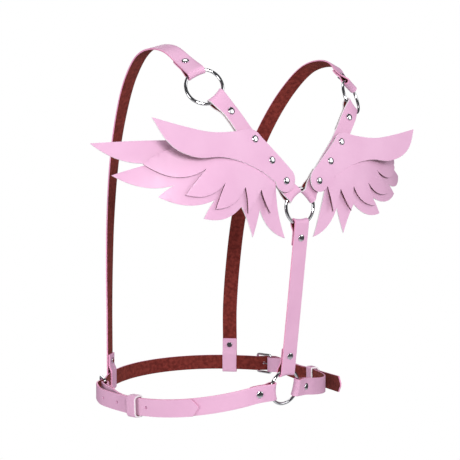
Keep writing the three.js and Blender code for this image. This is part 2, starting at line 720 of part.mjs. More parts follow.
const prongTip = heelBar.clone().addScaledVector(forward, BUCKLE_LENGTH + BUCKLE_BAR_RADIUS)
  .addScaledVector(heel.face, PRONG_TIP_LIFT);
const prong = rod(heelBar, prongTip, PRONG_RADIUS, BUCKLE_BAR_SIDES);
const prongRoom = rod(heelBar, prongTip, PRONG_RADIUS + PRONG_ROOM, BUCKLE_BAR_SIDES);
const buckle = toSolid(buckleFrame()).add(toSolid(prong));
const slottedSide = toSolid(drill(sideStrap, sideRivets, RIVET_HOLE_RADIUS)).subtract(toSolid(prongRoom));
addPair('buckle', fromSolid(buckle), chrome);
addPair('belt_side', fromSolid(slottedSide), leather);

// Front belt: one strap from the right tongue round the front to the left tongue.
// Each tongue passes under its buckle's far bar, over its heel bar and back along the side belt.
const OVER_SIDE = STRAP_THICK + TONGUE_GAP;

function tonguePlace(turn) {
  const { smoothstep } = THREE.MathUtils;
  const near = Math.min(turn, 360 - turn);
  const rise = smoothstep(TONGUE_UNDER_TURN - near, 0, TONGUE_UNDER_TURN - TONGUE_BULGE_TURN);
  const settle = smoothstep(TONGUE_BULGE_TURN - near, 0, TONGUE_BULGE_TURN - TONGUE_DOWN_TURN);
  const under = TONGUE_UNDER_LIFT * (1 - smoothstep(near, TONGUE_UNDER_TURN, TONGUE_FLAT_TURN));
  const over = (OVER_SIDE - TONGUE_UNDER_LIFT) * rise;
  const bulge = (TONGUE_BULGE - OVER_SIDE) * rise * (1 - settle);
  const sprung = Math.max(0, TIP_SPRING_TURN - turn) / (TIP_SPRING_TURN - TONGUE_TURN);
  const lift = under + over + bulge + TIP_SPRING * sprung ** 2;
  const droop = TONGUE_DROOP * smoothstep(BUCKLE_TURN - near, 0, TONGUE_DROOP_TURN) * (1 - settle);
  return waistPlace(turn, lift, droop);
}

const tongueTurns = turnsBetween(TONGUE_TURN, 360 - TONGUE_TURN);
const frontRows = tongueTurns.map(tonguePlace);
const frontRun = stationsThrough(frontRows.map((row) => row.at), frontRows.map((row) => row.out));

function pointedEnd(last, direction) {
  const at = last.at.clone().addScaledVector(last.along, direction * TONGUE_POINT);
  return { ...last, at, half: TONGUE_TIP_HALF };
}

const rightTip = pointedEnd(frontRun[0], -1);
const leftTip = pointedEnd(frontRun[frontRun.length - 1], 1);
const frontStations = [rightTip, ...frontRun, leftTip];
const tongueHoles = TONGUE_HOLE_TURNS.flatMap((turn) => [turn, 360 - turn]).map((turn) => {
  const nearTurns = [turn - 1, turn, turn + 1].map(tonguePlace);
  return stationsThrough(nearTurns.map((row) => row.at), nearTurns.map((row) => row.out))[1];
});
const punched = toSolid(drill(ribbon(frontStations), tongueHoles, TONGUE_HOLE_RADIUS));
const slottedFront = punched.subtract(toSolid(prongRoom)).subtract(toSolid(mirroredBody(prongRoom)));
addPiece('belt_front', fromSolid(slottedFront), leather);

// Keepers: a closed leather loop round the side belt and the tongue
function keeper() {
  const middle = waistPlace(KEEPER_TURN, 0, 0);
  const before = waistPlace(KEEPER_TURN - 1, 0, 0);
  const along = middle.at.clone().sub(before.at).normalize();
  const across = along.clone().cross(middle.out).normalize();
  const face = across.clone().cross(along);
  const inset = KEEPER_THICK / 2;
  const side = STRAP_WIDTH / 2 + KEEPER_ROOM + inset;
  const floor = -STRAP_THICK / 2 - KEEPER_ROOM - inset;
  const roof = OVER_SIDE + STRAP_THICK / 2 + KEEPER_STAND + inset;
  const [tight, soft] = [KEEPER_INNER_CORNER, KEEPER_OUTER_CORNER];
  const plan = [
    [-side, floor + tight], [-side + tight, floor], [side - tight, floor], [side, floor + tight],
    [side, roof - soft], [side - soft, roof], [-side + soft, roof], [-side, roof - soft],
  ];
  const sections = plan.map(([u, v], i) => {
    const [u0, v0] = plan[(i + plan.length - 1) % plan.length];
    const [u1, v1] = plan[(i + 1) % plan.length];
    const aside = new THREE.Vector2(v1 - v0, u0 - u1).normalize();
    const at = middle.at.clone().addScaledVector(across, u).addScaledVector(face, v);
    const normal = across.clone().multiplyScalar(aside.x).addScaledVector(face, aside.y);
    return [[1, 1], [-1, 1], [-1, -1], [1, -1]].map(([way, out]) => {
      const corner = at.clone().addScaledVector(along, way * KEEPER_WIDTH / 2);
      return corner.addScaledVector(normal, out * inset);
    });
  });
  return sweep(sections, true);
}

addPair('keeper', keeper(), leather);

// Shoulder straps: from the shoulder ring over the shoulder and down the front, then a loop round the belt
const shoulderRows = [
  { x: 104.5, y: 27.5, z: 331, outX: 0.36, outY: -0.62, outZ: 0.7 },
  { x: 109.5, y: 47, z: 345, outX: 0.32, outY: -0.3, outZ: 0.9 },
  { x: 112, y: 70, z: 349.5, outX: 0.3, outY: 0.02, outZ: 0.95 },
  { x: 112, y: 96, z: 345, outX: 0.3, outY: 0.4, outZ: 0.86 },
  { x: 109, y: 128, z: 322, outX: 0.32, outY: 0.72, outZ: 0.6 },
  { x: 103, y: 160, z: 282, outX: 0.4, outY: 0.82, outZ: 0.42 },
  { x: 97, y: 186, z: 232, outX: 0.5, outY: 0.82, outZ: 0.28 },
  { x: 92.5, y: 203, z: 172, outX: 0.58, outY: 0.8, outZ: 0.17 },
  { x: 89.5, y: 212, z: 110, outX: 0.64, outY: 0.76, outZ: 0.1 },
].map(({ x, y, z, outX, outY, outZ }) => ({ at: vec(x, y, z), out: vec(outX, outY, outZ).normalize() }));

const loopPlace = waistPlace(LOOP_TURN, STRAP_THICK + LOOP_GAP, 0);
const loopRows = [...LOOP_HEIGHTS, -LOOP_BOTTOM].map((height) => ({
  at: loopPlace.at.clone().add(vec(0, 0, height)),
  out: loopPlace.out,
}));
const SHOULDER_STEPS = 2;
const shoulderTop = leaveRing(shoulderRing, shoulderRows[0].at);
const shoulderRun = smoothStations([shoulderTop, ...shoulderRows, ...loopRows], SHOULDER_STEPS);
const LOOP_FOLD = {
  hollow: STRAP_THICK + 2 * LOOP_GAP,
  straight: LOOP_STRAIGHT,
  toRivet: LOOP_TO_RIVET,
  tail: FOLD_TAIL,
};
const shoulderRivets = [
  stationAt(shoulderRun, FOLD_TO_RIVET),
  stationAt(turnedBack(shoulderRun), LOOP_TO_RIVET),
];
const shoulderStrap = ribbon(foldEnd(foldStart(shoulderRun, RING_FOLD), LOOP_FOLD));
addPair('shoulder_strap', drill(shoulderStrap, shoulderRivets, RIVET_HOLE_RADIUS), leather);
addRivetPair('rivet_shoulder', shoulderRivets[0], FOLD_INNER, FOLD_OUTER);
addRivetPair('rivet_loop', shoulderRivets[1], FOLD_INNER, FOLD_OUTER);

export default harness;
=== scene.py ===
# Angel wing harness: pink leather straps and wings, plated rings, rivets and buckles, in its worn form.
# Metres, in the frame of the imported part: +Z up, the back faces -Y and +X is the right side when worn.
from collections import namedtuple
from math import cos, exp, pi, radians, sin

import bmesh
import bpy
from mathutils import Matrix, Vector


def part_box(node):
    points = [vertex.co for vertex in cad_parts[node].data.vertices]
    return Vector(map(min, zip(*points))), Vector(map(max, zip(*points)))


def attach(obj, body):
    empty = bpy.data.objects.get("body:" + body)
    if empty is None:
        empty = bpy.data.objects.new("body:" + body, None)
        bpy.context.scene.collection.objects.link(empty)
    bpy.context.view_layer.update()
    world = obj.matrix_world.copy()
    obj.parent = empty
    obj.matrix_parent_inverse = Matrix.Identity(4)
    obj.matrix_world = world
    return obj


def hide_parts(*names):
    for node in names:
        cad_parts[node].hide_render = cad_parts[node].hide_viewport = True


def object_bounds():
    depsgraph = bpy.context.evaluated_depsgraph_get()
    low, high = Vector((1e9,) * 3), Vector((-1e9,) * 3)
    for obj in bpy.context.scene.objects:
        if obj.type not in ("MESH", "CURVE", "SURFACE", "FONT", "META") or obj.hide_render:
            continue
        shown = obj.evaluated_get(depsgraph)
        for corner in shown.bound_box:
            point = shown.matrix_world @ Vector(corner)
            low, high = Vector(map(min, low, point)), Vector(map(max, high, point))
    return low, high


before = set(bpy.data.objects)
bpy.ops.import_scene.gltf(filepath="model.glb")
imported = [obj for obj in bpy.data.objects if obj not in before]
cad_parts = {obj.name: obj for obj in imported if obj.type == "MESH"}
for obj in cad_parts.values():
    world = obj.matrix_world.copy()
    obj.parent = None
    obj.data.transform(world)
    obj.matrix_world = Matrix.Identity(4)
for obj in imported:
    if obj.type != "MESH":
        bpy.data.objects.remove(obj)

cad_low, cad_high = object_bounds()

# Rings. Round steel wire bent to a ring, welded shut, nickel plated and polished. Three straps meet at
# the centre ring and at the waist ring, and each shoulder ring joins a diagonal and a shoulder strap.
# One section of wire is spun round to a ring, and each copy of it is turned to face as it hangs.
RING_RADIUS = 0.0181
WIRE_RADIUS = 0.0016
RING_STEPS = 80
WIRE_SIDES = 20
RING_FACES = {
    "ring_waist": (0, -0.9917, -0.1285),
    "ring_centre": (0, -1, 0),
    "ring_shoulder_right": (0.41, -0.85, 0.33),
    "ring_shoulder_left": (-0.41, -0.85, 0.33),
}
PLATE_BRIGHT = (0.78, 0.78, 0.80, 1)
PLATE_DULL = (0.62, 0.62, 0.65, 1)
PLATE_CLOUD_SCALE = 160
PLATE_ROUGHNESS = (0.05, 0.09)
PLATE_SCRATCH_SCALE = 2200
PLATE_SCRATCH_DEPTH = 0.000004
PLATE_SCRATCH_STRENGTH = 0.04
NOISE_SPREAD = (0.3, 0.7)
MERGE_DISTANCE = 0.00001


def new_material(name):
    material = bpy.data.materials.new(name)
    material.use_nodes = True
    return material, material.node_tree.nodes, material.node_tree.links


def noise(nodes, links, scale, detail=3.0):
    place = nodes.new("ShaderNodeTexCoord")
    texture = nodes.new("ShaderNodeTexNoise")
    texture.inputs["Scale"].default_value = scale
    texture.inputs["Detail"].default_value = detail
    links.new(place.outputs["Object"], texture.inputs["Vector"])
    return texture.outputs["Fac"]


def tint(nodes, links, pattern, first, last, low=0.35, high=0.65):
    ramp = nodes.new("ShaderNodeValToRGB")
    ramp.color_ramp.elements[0].position = low
    ramp.color_ramp.elements[0].color = first
    ramp.color_ramp.elements[1].position = high
    ramp.color_ramp.elements[1].color = last
    links.new(pattern, ramp.inputs["Fac"])
    links.new(ramp.outputs["Color"], nodes["Principled BSDF"].inputs["Base Color"])


def vary_roughness(nodes, links, pattern, limits):
    spread = nodes.new("ShaderNodeMapRange")
    for end, value in zip(("From Min", "From Max", "To Min", "To Max"), (*NOISE_SPREAD, *limits)):
        spread.inputs[end].default_value = value
    links.new(pattern, spread.inputs["Value"])
    links.new(spread.outputs["Result"], nodes["Principled BSDF"].inputs["Roughness"])


def emboss(nodes, links, pattern, depth, strength):
    bump = nodes.new("ShaderNodeBump")
    bump.inputs["Strength"].default_value = strength
    bump.inputs["Distance"].default_value = depth
    links.new(pattern, bump.inputs["Height"])
    links.new(bump.outputs["Normal"], nodes["Principled BSDF"].inputs["Normal"])


def polished_plate():
    material, nodes, links = new_material("polished_plate")
    nodes["Principled BSDF"].inputs["Metallic"].default_value = 1.0
    cloud = noise(nodes, links, PLATE_CLOUD_SCALE)
    tint(nodes, links, cloud, PLATE_DULL, PLATE_BRIGHT)
    vary_roughness(nodes, links, cloud, PLATE_ROUGHNESS)
    scratches = noise(nodes, links, PLATE_SCRATCH_SCALE, detail=6.0)
    emboss(nodes, links, scratches, PLATE_SCRATCH_DEPTH, PLATE_SCRATCH_STRENGTH)
    return material


def clear_selection():
    bpy.ops.object.select_all(action="DESELECT")


def select_only(piece):
    clear_selection()
    piece.select_set(True)
    bpy.context.view_layer.objects.active = piece


def named(name):
    piece = bpy.context.object
    piece.name = name
    piece.data.name = name
    return piece


def middle_of(node):
    low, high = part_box(node)
    return (low + high) / 2


# Puts a piece that was modelled round the origin, looking along +Z, at its place, facing its way
def set_down(piece, place, face):
    turn = Vector((0, 0, 1)).rotation_difference(Vector(face)).to_matrix().to_4x4()
    piece.matrix_world = Matrix.Translation(place) @ turn
    bpy.ops.object.transform_apply(location=True, rotation=True, scale=True)


def close_seams():
    bpy.ops.mesh.select_all(action="SELECT")
    bpy.ops.mesh.remove_doubles(threshold=MERGE_DISTANCE)
    bpy.ops.mesh.normals_make_consistent(inside=False)


def copy_of(piece, name):
    select_only(piece)
    bpy.ops.object.duplicate()
    return named(name)


def hand_over(piece, node):
    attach(piece, "root")
    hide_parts(node)


metal = polished_plate()
clear_selection()
bpy.ops.mesh.primitive_circle_add(
    vertices=WIRE_SIDES, radius=WIRE_RADIUS, location=(RING_RADIUS, 0, 0), rotation=(pi / 2, 0, 0)
)
plain_ring = named("plain_ring")
bpy.ops.object.transform_apply(location=True, rotation=True, scale=True)
bpy.ops.object.mode_set(mode="EDIT")
bpy.ops.mesh.select_all(action="SELECT")
bpy.ops.mesh.spin(steps=RING_STEPS, angle=2 * pi, center=(0, 0, 0), axis=(0, 0, 1))
close_seams()
bpy.ops.object.mode_set(mode="OBJECT")
bpy.ops.object.shade_smooth()
plain_ring.data.materials.append(metal)
for node, face in RING_FACES.items():
    ring = copy_of(plain_ring, node + "_wire")
    set_down(ring, middle_of(node), face)
    hand_over(ring, node)
bpy.data.objects.remove(plain_ring)

# Spine strap. One strip of pink leather with a suede back, straight from the centre ring to the waist
# ring. Each end is turned round the ring's wire, laid back on the inner side and held by a rivet.
# The strip's end edge is extruded from row to row along its run, and it then gets its thickness.
STRAP_WIDTH = 0.018
STRAP_THICK = 0.0018
GAP = 0.0003
STRAP_COLUMNS = 6
WIRE_HOLD = 0.017
WIRE_ROOM = 0.0007
RING_HOLLOW = 2 * (WIRE_RADIUS + WIRE_ROOM)
WIRE_SAG = 0.0012
WIRE_SAG_REACH = 0.012
FOLD_TO_RIVET = 0.0177
SPINE_TOP_TO_RIVET = 0.0145
FOLD_TAIL = 0.008
FOLD_FLAT = 0.005
FOLD_STRAIGHT = 0.002
FOLD_STEPS = 16
TAIL_STEPS = 16
SPINE_AIM = (0, -0.008, 0.02)
SPINE_STEPS = 40
SHORTEST = 0.000001
EDGE_ROUND = 0.0004
EDGE_SEGMENTS = 3
EDGE_ANGLE = radians(50)
SMOOTH_ANGLE = radians(40)
RIVET_HOLE_RADIUS = 0.0017
PUNCH_SIDES = 24
PUNCH_REACH = 5 * STRAP_THICK
PINK_LIGHT = (0.84, 0.475, 0.68, 1)
PINK_DEEP = (0.80, 0.44, 0.645, 1)
PINK_CLOUD_SCALE = 28
PINK_GLOSS_SCALE = 90
PINK_ROUGHNESS = (0.40, 0.52)
PINK_SHINE = 0.42
GRAIN_SCALE = 1250
GRAIN_DEPTH = 0.00012
GRAIN_STRENGTH = 0.16
EDGE_LIGHT = (0.97, 0.44, 0.67, 1)
EDGE_DEEP = (0.90, 0.35, 0.58, 1)
EDGE_CLOUD_SCALE = 420
EDGE_GLOSS_SCALE = 300
EDGE_ROUGHNESS = (0.45, 0.62)
FIBRE_SCALE = 1500
FIBRE_DEPTH = 0.0001
FIBRE_STRENGTH = 0.3
SUEDE_LIGHT = (0.24, 0.036, 0.028, 1)
SUEDE_DEEP = (0.13, 0.015, 0.012, 1)
SUEDE_CLOUD_SCALE = 260
SUEDE_GLOSS_SCALE = 500
SUEDE_ROUGHNESS = (0.85, 0.98)
SUEDE_SHINE = 0.2
SUEDE_SHEEN = 0.08
SUEDE_SHEEN_ROUGHNESS = 0.5
SUEDE_SHEEN_TINT = (0.9, 0.5, 0.42, 1)
NAP_SCALE = 2600
NAP_DEPTH = 0.0002
NAP_STRENGTH = 0.5

Station = namedtuple("Station", "at along across face half pull", defaults=(Vector((0, 0, 0)),))


def leather_face(name, light, deep):
    material, nodes, links = new_material(name)
    shader = nodes["Principled BSDF"]
    shader.inputs["Specular IOR Level"].default_value = PINK_SHINE
    tint(nodes, links, noise(nodes, links, PINK_CLOUD_SCALE, detail=4.0), deep, light)
    vary_roughness(nodes, links, noise(nodes, links, PINK_GLOSS_SCALE), PINK_ROUGHNESS)
    grain = nodes.new("ShaderNodeTexVoronoi")
    grain.feature = "SMOOTH_F1"
    grain.inputs["Scale"].default_value = GRAIN_SCALE
    place = nodes.new("ShaderNodeTexCoord")
    links.new(place.outputs["Object"], grain.inputs["Vector"])
    emboss(nodes, links, grain.outputs["Distance"], GRAIN_DEPTH, GRAIN_STRENGTH)
    return material


def leather_edge(name, light, deep):
    material, nodes, links = new_material(name)
    tint(nodes, links, noise(nodes, links, EDGE_CLOUD_SCALE, detail=5.0), deep, light)
    vary_roughness(nodes, links, noise(nodes, links, EDGE_GLOSS_SCALE), EDGE_ROUGHNESS)
    emboss(nodes, links, noise(nodes, links, FIBRE_SCALE, detail=6.0), FIBRE_DEPTH, FIBRE_STRENGTH)
    return material


def leather_back():
    material, nodes, links = new_material("suede_back")
    shader = nodes["Principled BSDF"]
    shader.inputs["Specular IOR Level"].default_value = SUEDE_SHINE
    shader.inputs["Sheen Weight"].default_value = SUEDE_SHEEN
    shader.inputs["Sheen Roughness"].default_value = SUEDE_SHEEN_ROUGHNESS
    shader.inputs["Sheen Tint"].default_value = SUEDE_SHEEN_TINT
    tint(nodes, links, noise(nodes, links, SUEDE_CLOUD_SCALE, detail=8.0), SUEDE_DEEP, SUEDE_LIGHT)
    vary_roughness(nodes, links, noise(nodes, links, SUEDE_GLOSS_SCALE), SUEDE_ROUGHNESS)
    emboss(nodes, links, noise(nodes, links, NAP_SCALE, detail=4.0), NAP_DEPTH, NAP_STRENGTH)
    return material


def ease(low, high, value):
    share = min(max((value - low) / (high - low), 0), 1)
    return share * share * (3 - 2 * share)


# A smooth line through the points, with a number of steps from each to the next
def smooth_line(points, steps):
    points = [Vector(point) for point in points]
    held = [2 * points[0] - points[1], *points, 2 * points[-1] - points[-2]]
    line = []
    for before, start, end, after in zip(held, held[1:], held[2:], held[3:]):
        legs = ((before, start), (start, end), (end, after))
        first, span, last = (max((far - near).length, SHORTEST) ** 0.5 for near, far in legs)
        leave = (start - before) / first - (end - before) / (first + span) + (end - start) / span
        arrive = (end - start) / span - (after - start) / (span + last) + (after - end) / last
        for step in range(steps):
            t = step / steps
            line.append(
                start * (1 + t * t * (2 * t - 3))
                + end * (t * t * (3 - 2 * t))
                + leave * (span * t * (1 - t) ** 2)
                + arrive * (span * t * t * (t - 1))
            )
    return [*line, points[-1]]


# Stations of a strap along a line: the way it runs, the way it is wide and the way its face looks
def stations_through(points, outs):
    stations = []
    for i, at in enumerate(points):
        along = (points[min(i + 1, len(points) - 1)] - points[max(i - 1, 0)]).normalized()
        across = along.cross(outs[i]).normalized()
        stations.append(Station(at, along, across, across.cross(along), STRAP_WIDTH / 2))
    return stations


def smooth_run(rows, steps):
    places, outs = zip(*rows)
    return stations_through(smooth_line(places, steps), smooth_line(outs, steps))


def turned_back(stations):
    return [station._replace(along=-station.along) for station in reversed(stations)]


def station_at(stations, distance):
    left = distance
    for near, far in zip(stations, stations[1:]):
        span = (far.at - near.at).length
        if left <= span:
            share = left / span
            at, along, across, face = (a.lerp(b, share) for a, b in zip(near[:4], far[:4]))
            return Station(at, along.normalized(), across.normalized(), face.normalized(), near.half)
        left -= span
    return stations[-1]


# The strap's first end turned round a wire and laid back on its inner side. hollow is the room in the
# bend, and sag is how far the strap's edges reach on round the curve of a ring.
def fold_start(
    run, hollow, sag=WIRE_SAG, straight=FOLD_STRAIGHT, to_rivet=FOLD_TO_RIVET, tail=FOLD_TAIL
):
    bend = (hollow + STRAP_THICK) / 2
    closed = STRAP_THICK + GAP
    first = run[0]
    layer = []

    def pulled(distance):
        return first.along * (-sag * (1 - ease(0, WIRE_SAG_REACH, distance)))

    for i in range(TAIL_STEPS + 1):
        distance = (to_rivet + tail) * (1 - i / TAIL_STEPS)
        over = station_at(run, distance)
        depth = closed + (2 * bend - closed) * (1 - ease(straight, to_rivet - FOLD_FLAT, distance))
        layer.append(over._replace(at=over.at - over.face * depth, pull=pulled(distance)))
    middle = first.at - first.face * bend
    for i in range(1, FOLD_STEPS):
        angle = pi * (1 - i / FOLD_STEPS)
        face = first.face * cos(angle) - first.along * sin(angle)
        layer.append(first._replace(at=middle + face * bend, pull=first.along * -sag))
    distance = 0
    for before, station in zip([first, *run], run):
        distance += (station.at - before.at).length
        layer.append(station._replace(pull=station.pull + pulled(distance)))
    return layer


def fold_end(run, hollow, **fold):
    return turned_back(fold_start(turned_back(run), hollow, **fold))


# The first row of a strap that leaves a ring's wire towards a point on its outer layer
def leave_ring(node, toward):
    face = Vector(RING_FACES[node]).normalized()
    middle = middle_of(node)
    lift = WIRE_RADIUS + WIRE_ROOM + STRAP_THICK / 2
    aim = toward - face * lift - middle
    heading = (aim - face * aim.dot(face)).normalized()
    wire = middle + heading * WIRE_HOLD
    away = (aim + middle - wire).normalized()
    out = (face - away * face.dot(away)).normalized()
    return wire + out * lift, out


def row_across(station):
    shares = [2 * i / STRAP_COLUMNS - 1 for i in range(STRAP_COLUMNS + 1)]
    wide = station.across * station.half
    return [station.at + wide * share + station.pull * share * share for share in shares]


def lay_strap(name, stations):
    rows = [row_across(station) for station in stations]
    clear_selection()
    bpy.ops.mesh.primitive_grid_add(
        x_subdivisions=STRAP_COLUMNS, y_subdivisions=1, size=STRAP_WIDTH
    )
    strap = named(name)
    bpy.ops.object.mode_set(mode="EDIT")
    mesh = bmesh.from_edit_mesh(strap.data)
    corners = sorted(mesh.verts, key=lambda corner: (round(corner.co.y, 6), corner.co.x))
    for corner, place in zip(corners, [*rows[0], *rows[1]]):
        corner.co = place
        corner.select_set(corner in corners[len(rows[0]):])
    mesh.select_flush(False)
    last = rows[1]
    for row in rows[2:]:
        bpy.ops.mesh.extrude_region()
        mesh = bmesh.from_edit_mesh(strap.data)
        for corner in [corner for corner in mesh.verts if corner.select]:
            column = min(range(len(row)), key=lambda i: (corner.co - last[i]).length)
            corner.co = row[column]
        last = row
    bmesh.update_edit_mesh(strap.data)
    bpy.ops.object.mode_set(mode="OBJECT")
    return strap


def apply_modifier(piece, kind, **settings):
    bpy.context.view_layer.objects.active = piece
    bpy.ops.object.modifier_add(type=kind)
    modifier = piece.modifiers[-1]
    for setting, value in settings.items():
        setattr(modifier, setting, value)
    bpy.ops.object.modifier_apply(modifier=modifier.name)


# Gives a flat sheet its thickness, with its own finish on the outer face, the back and the cut edge
def thicken(piece, thickness, finishes, edge_round=EDGE_ROUND):
    for finish in finishes:
        piece.data.materials.append(finish)
    apply_modifier(
        piece, "SOLIDIFY", thickness=thickness, offset=0, use_even_offset=True,
        material_offset=1, material_offset_rim=2,
    )
    apply_modifier(
        piece, "BEVEL", width=edge_round, segments=EDGE_SEGMENTS,
        limit_method="ANGLE", angle_limit=EDGE_ANGLE,
    )


# Punches round holes through a piece, each at a place and along the way it looks
def punch(piece, holes, radius, reach):
    for place, face in holes:
        clear_selection()
        bpy.ops.mesh.primitive_cylinder_add(vertices=PUNCH_SIDES, radius=radius, depth=reach)
        cutter = named("punch")
        set_down(cutter, place, face)
        apply_modifier(piece, "BOOLEAN", operation="DIFFERENCE", solver="EXACT", object=cutter)
        bpy.data.objects.remove(cutter)


def smooth_faces(piece):
    select_only(piece)
    bpy.ops.object.shade_smooth_by_angle(angle=SMOOTH_ANGLE)
    apply_modifier(piece, "WEIGHTED_NORMAL", keep_sharp=True, weight=100)


def punch_for_rivets(strap, rivets):
    holes = [(rivet.at - rivet.face * STRAP_THICK, rivet.face) for rivet in rivets]
    punch(strap, holes, RIVET_HOLE_RADIUS, PUNCH_REACH)


def finish_strap(strap, rivets, edge):
    thicken(strap, STRAP_THICK, (pink_face, suede_back, edge))
    punch_for_rivets(strap, rivets)
    smooth_faces(strap)


pink_face = leather_face("pink_leather", PINK_LIGHT, PINK_DEEP)
pink_edge = leather_edge("pink_edge", EDGE_LIGHT, EDGE_DEEP)
suede_back = leather_back()

waist = middle_of("ring_waist")
spine_top = leave_ring("ring_centre", waist + Vector(SPINE_AIM))
spine_foot = leave_ring("ring_waist", spine_top[0])
spine_run = smooth_run([spine_top, spine_foot], SPINE_STEPS)
spine_rivets = [
    station_at(spine_run, SPINE_TOP_TO_RIVET),
    station_at(turned_back(spine_run), FOLD_TO_RIVET),
]
spine_started = fold_start(spine_run, RING_HOLLOW, to_rivet=SPINE_TOP_TO_RIVET)
spine_strap = lay_strap("spine_leather", fold_end(spine_started, RING_HOLLOW))
finish_strap(spine_strap, spine_rivets, pink_edge)
hand_over(spine_strap, "spine_strap")

# Diagonal straps. The same leather with raw pale edges, from the centre ring up the back and under the
# wing to the shoulder ring, with a turned and riveted end at each ring.
# The right strap is laid first, and the left one is its mirror image.
BACK_DEPTH = -0.0224
LEAN_START = 0.205
LEAN_RADIUS = 0.22
WRAP_START = 0.076
WRAP_RADIUS = 0.15
WRAP_TILT = 0.3
WING_RIVETS = {"low": (0.0216, 0.2143), "middle": (0.0387, 0.2343), "top": (0.0571, 0.2542)}
DIAGONAL_REST = (0.0155, 0.207)
DIAGONAL_REST_STAND = 0.001
DIAGONAL_TOP = (0.0778, 0.2812)
DIAGONAL_TOP_STAND = 0.0019
DIAGONAL_TAIL = 0.022
DIAGONAL_FOOT_AIM = (0, -0.001, 0)
DIAGONAL_STEPS = 14
RAW_EDGE_LIGHT = (0.96, 0.92, 0.94, 1)
RAW_EDGE_DEEP = (0.91, 0.82, 0.87, 1)


# A place on the back at x out from the midline and z over the waist ring, and the way the back looks
# there. What wraps is bent round the side, along lines that run up and in.
def back_place(x, z, wraps, stand):
    lean = max(0, z - LEAN_START)
    wrap = max(0, x + WRAP_TILT * (z - LEAN_START) - WRAP_START) if wraps else 0
    depth = BACK_DEPTH + lean * lean / (2 * LEAN_RADIUS) + wrap * wrap / (2 * WRAP_RADIUS)
    bend = wrap / WRAP_RADIUS
    out = Vector((bend, -1, lean / LEAN_RADIUS + WRAP_TILT * bend)).normalized()
    return waist + Vector((x, depth, z)) + out * stand, out


def mirrored_copy(piece, name):
    copy = copy_of(piece, name)
    copy.scale.x = -1
    bpy.ops.object.transform_apply(location=False, rotation=False, scale=True)
    bpy.ops.object.mode_set(mode="EDIT")
    bpy.ops.mesh.select_all(action="SELECT")
    bpy.ops.mesh.normals_make_consistent(inside=False)
    bpy.ops.object.mode_set(mode="OBJECT")
    return copy


# Hands over a right piece and its mirror image on the left
def hand_over_pair(right, node):
    left = mirrored_copy(right, right.name.replace("right", "left"))
    hand_over(right, f"{node}_right")
    hand_over(left, f"{node}_left")


raw_edge = leather_edge("raw_edge", RAW_EDGE_LIGHT, RAW_EDGE_DEEP)
diagonal_rows = [
    back_place(*DIAGONAL_REST, False, DIAGONAL_REST_STAND),
    *(back_place(*rivet, False, 0) for rivet in WING_RIVETS.values()),
    back_place(*DIAGONAL_TOP, False, DIAGONAL_TOP_STAND),
]
diagonal_foot = leave_ring("ring_centre", diagonal_rows[0][0] + Vector(DIAGONAL_FOOT_AIM))
diagonal_top = leave_ring("ring_shoulder_right", diagonal_rows[-1][0])
diagonal_run = smooth_run([diagonal_foot, *diagonal_rows, diagonal_top], DIAGONAL_STEPS)
wing_rivets = [diagonal_run[(2 + i) * DIAGONAL_STEPS] for i in range(len(WING_RIVETS))]
diagonal_rivet = station_at(turned_back(diagonal_run), FOLD_TO_RIVET)
diagonal_folded = fold_end(fold_start(diagonal_run, RING_HOLLOW), RING_HOLLOW, tail=DIAGONAL_TAIL)
diagonal = lay_strap("diagonal_right_leather", diagonal_folded)
finish_strap(diagonal, [*wing_rivets, diagonal_rivet], raw_edge)
hand_over_pair(diagonal, "diagonal_strap")

# Wings. Three sheets of thinner leather on each side, cut to feathers and riveted to the diagonal
# strap: long feathers next to it, middle feathers over them, and one long cover feather outside.
# Each outline is filled, cut along a lattice so that it can bend, and bent over the back.
WING_THICK = 0.0013
WING_STACK_START = 0.0015
WING_EDGE_ROUND = 0.00015
WING_STEP = WING_THICK + GAP
Opening = namedtuple("Opening", "start end outer inner")
LONG_OPENING = Opening(0.008, 0.030, -0.001, -0.0016)
MIDDLE_OPENING = Opening(0.016, 0.040, 0, 0.0012)
FEATHERS_NEAR_MIDLINE = (0.038, 0.080)
LATTICE = 0.005
FEATHER_STEPS = 16
HOLE_SIDES = 16
WING_PINK_LIGHT = (0.86, 0.505, 0.715, 1)
WING_PINK_DEEP = (0.82, 0.465, 0.675, 1)
# Near-black maroon for the cut edges of the middle feathers: painted shade, standing in for the shade
# that falls in the slits between the feathers.
PAINTED_SLIT_SHADE_PALE = (0.13, 0.028, 0.028, 1)
PAINTED_SLIT_SHADE_DARK = (0.06, 0.012, 0.012, 1)
Feather = namedtuple("Feather", "tip upper_bow notch lower_bow")
LONG_ROOT = (0.116, 0.2525)
LONG_FEATHERS = (
    Feather((0.2001, 0.2493), 0.001, (0.154, 0.2315), 0.0075),
    Feather((0.189, 0.2195), 0.0005, (0.1408, 0.2104), 0.0065),
    Feather((0.155, 0.1997), 0.0005, (0.1039, 0.1966), 0.0065),
    Feather((0.1156, 0.1792), 0.0005, (0.0742, 0.1901), 0.006),
    Feather((0.0601, 0.1598), -0.001, (0.051, 0.1868), 0.0005),
    Feather((0.0189, 0.1573), 0.0055, (0.033, 0.2115), -0.002),
)
LONG_CORNERS = (
    (0.0238, 0.2078), (0.017, 0.2138), (0.0508, 0.2548),
    (0.0568, 0.2584), (0.0615, 0.2545), (0.0625, 0.2485),
)
MIDDLE_ROOT = (0.116, 0.248)
MIDDLE_FEATHERS = (
    Feather((0.1642, 0.2295), 0.0045, (0.1114, 0.2253), 0.010),
    Feather((0.132, 0.2012), 0.0005, (0.0933, 0.2128), 0.0065),
    Feather((0.1043, 0.188), 0.0005, (0.0716, 0.2088), 0.006),
    Feather((0.0684, 0.1834), -0.001, (0.0525, 0.2063), 0.001),
    Feather((0.0416, 0.1832), 0.001, (0.0335, 0.2115), -0.001),
)
MIDDLE_CORNERS = (
    (0.0238, 0.207), (0.0163, 0.2134), (0.0511, 0.2558),
    (0.057, 0.2592), (0.062, 0.255), (0.063, 0.249),
)
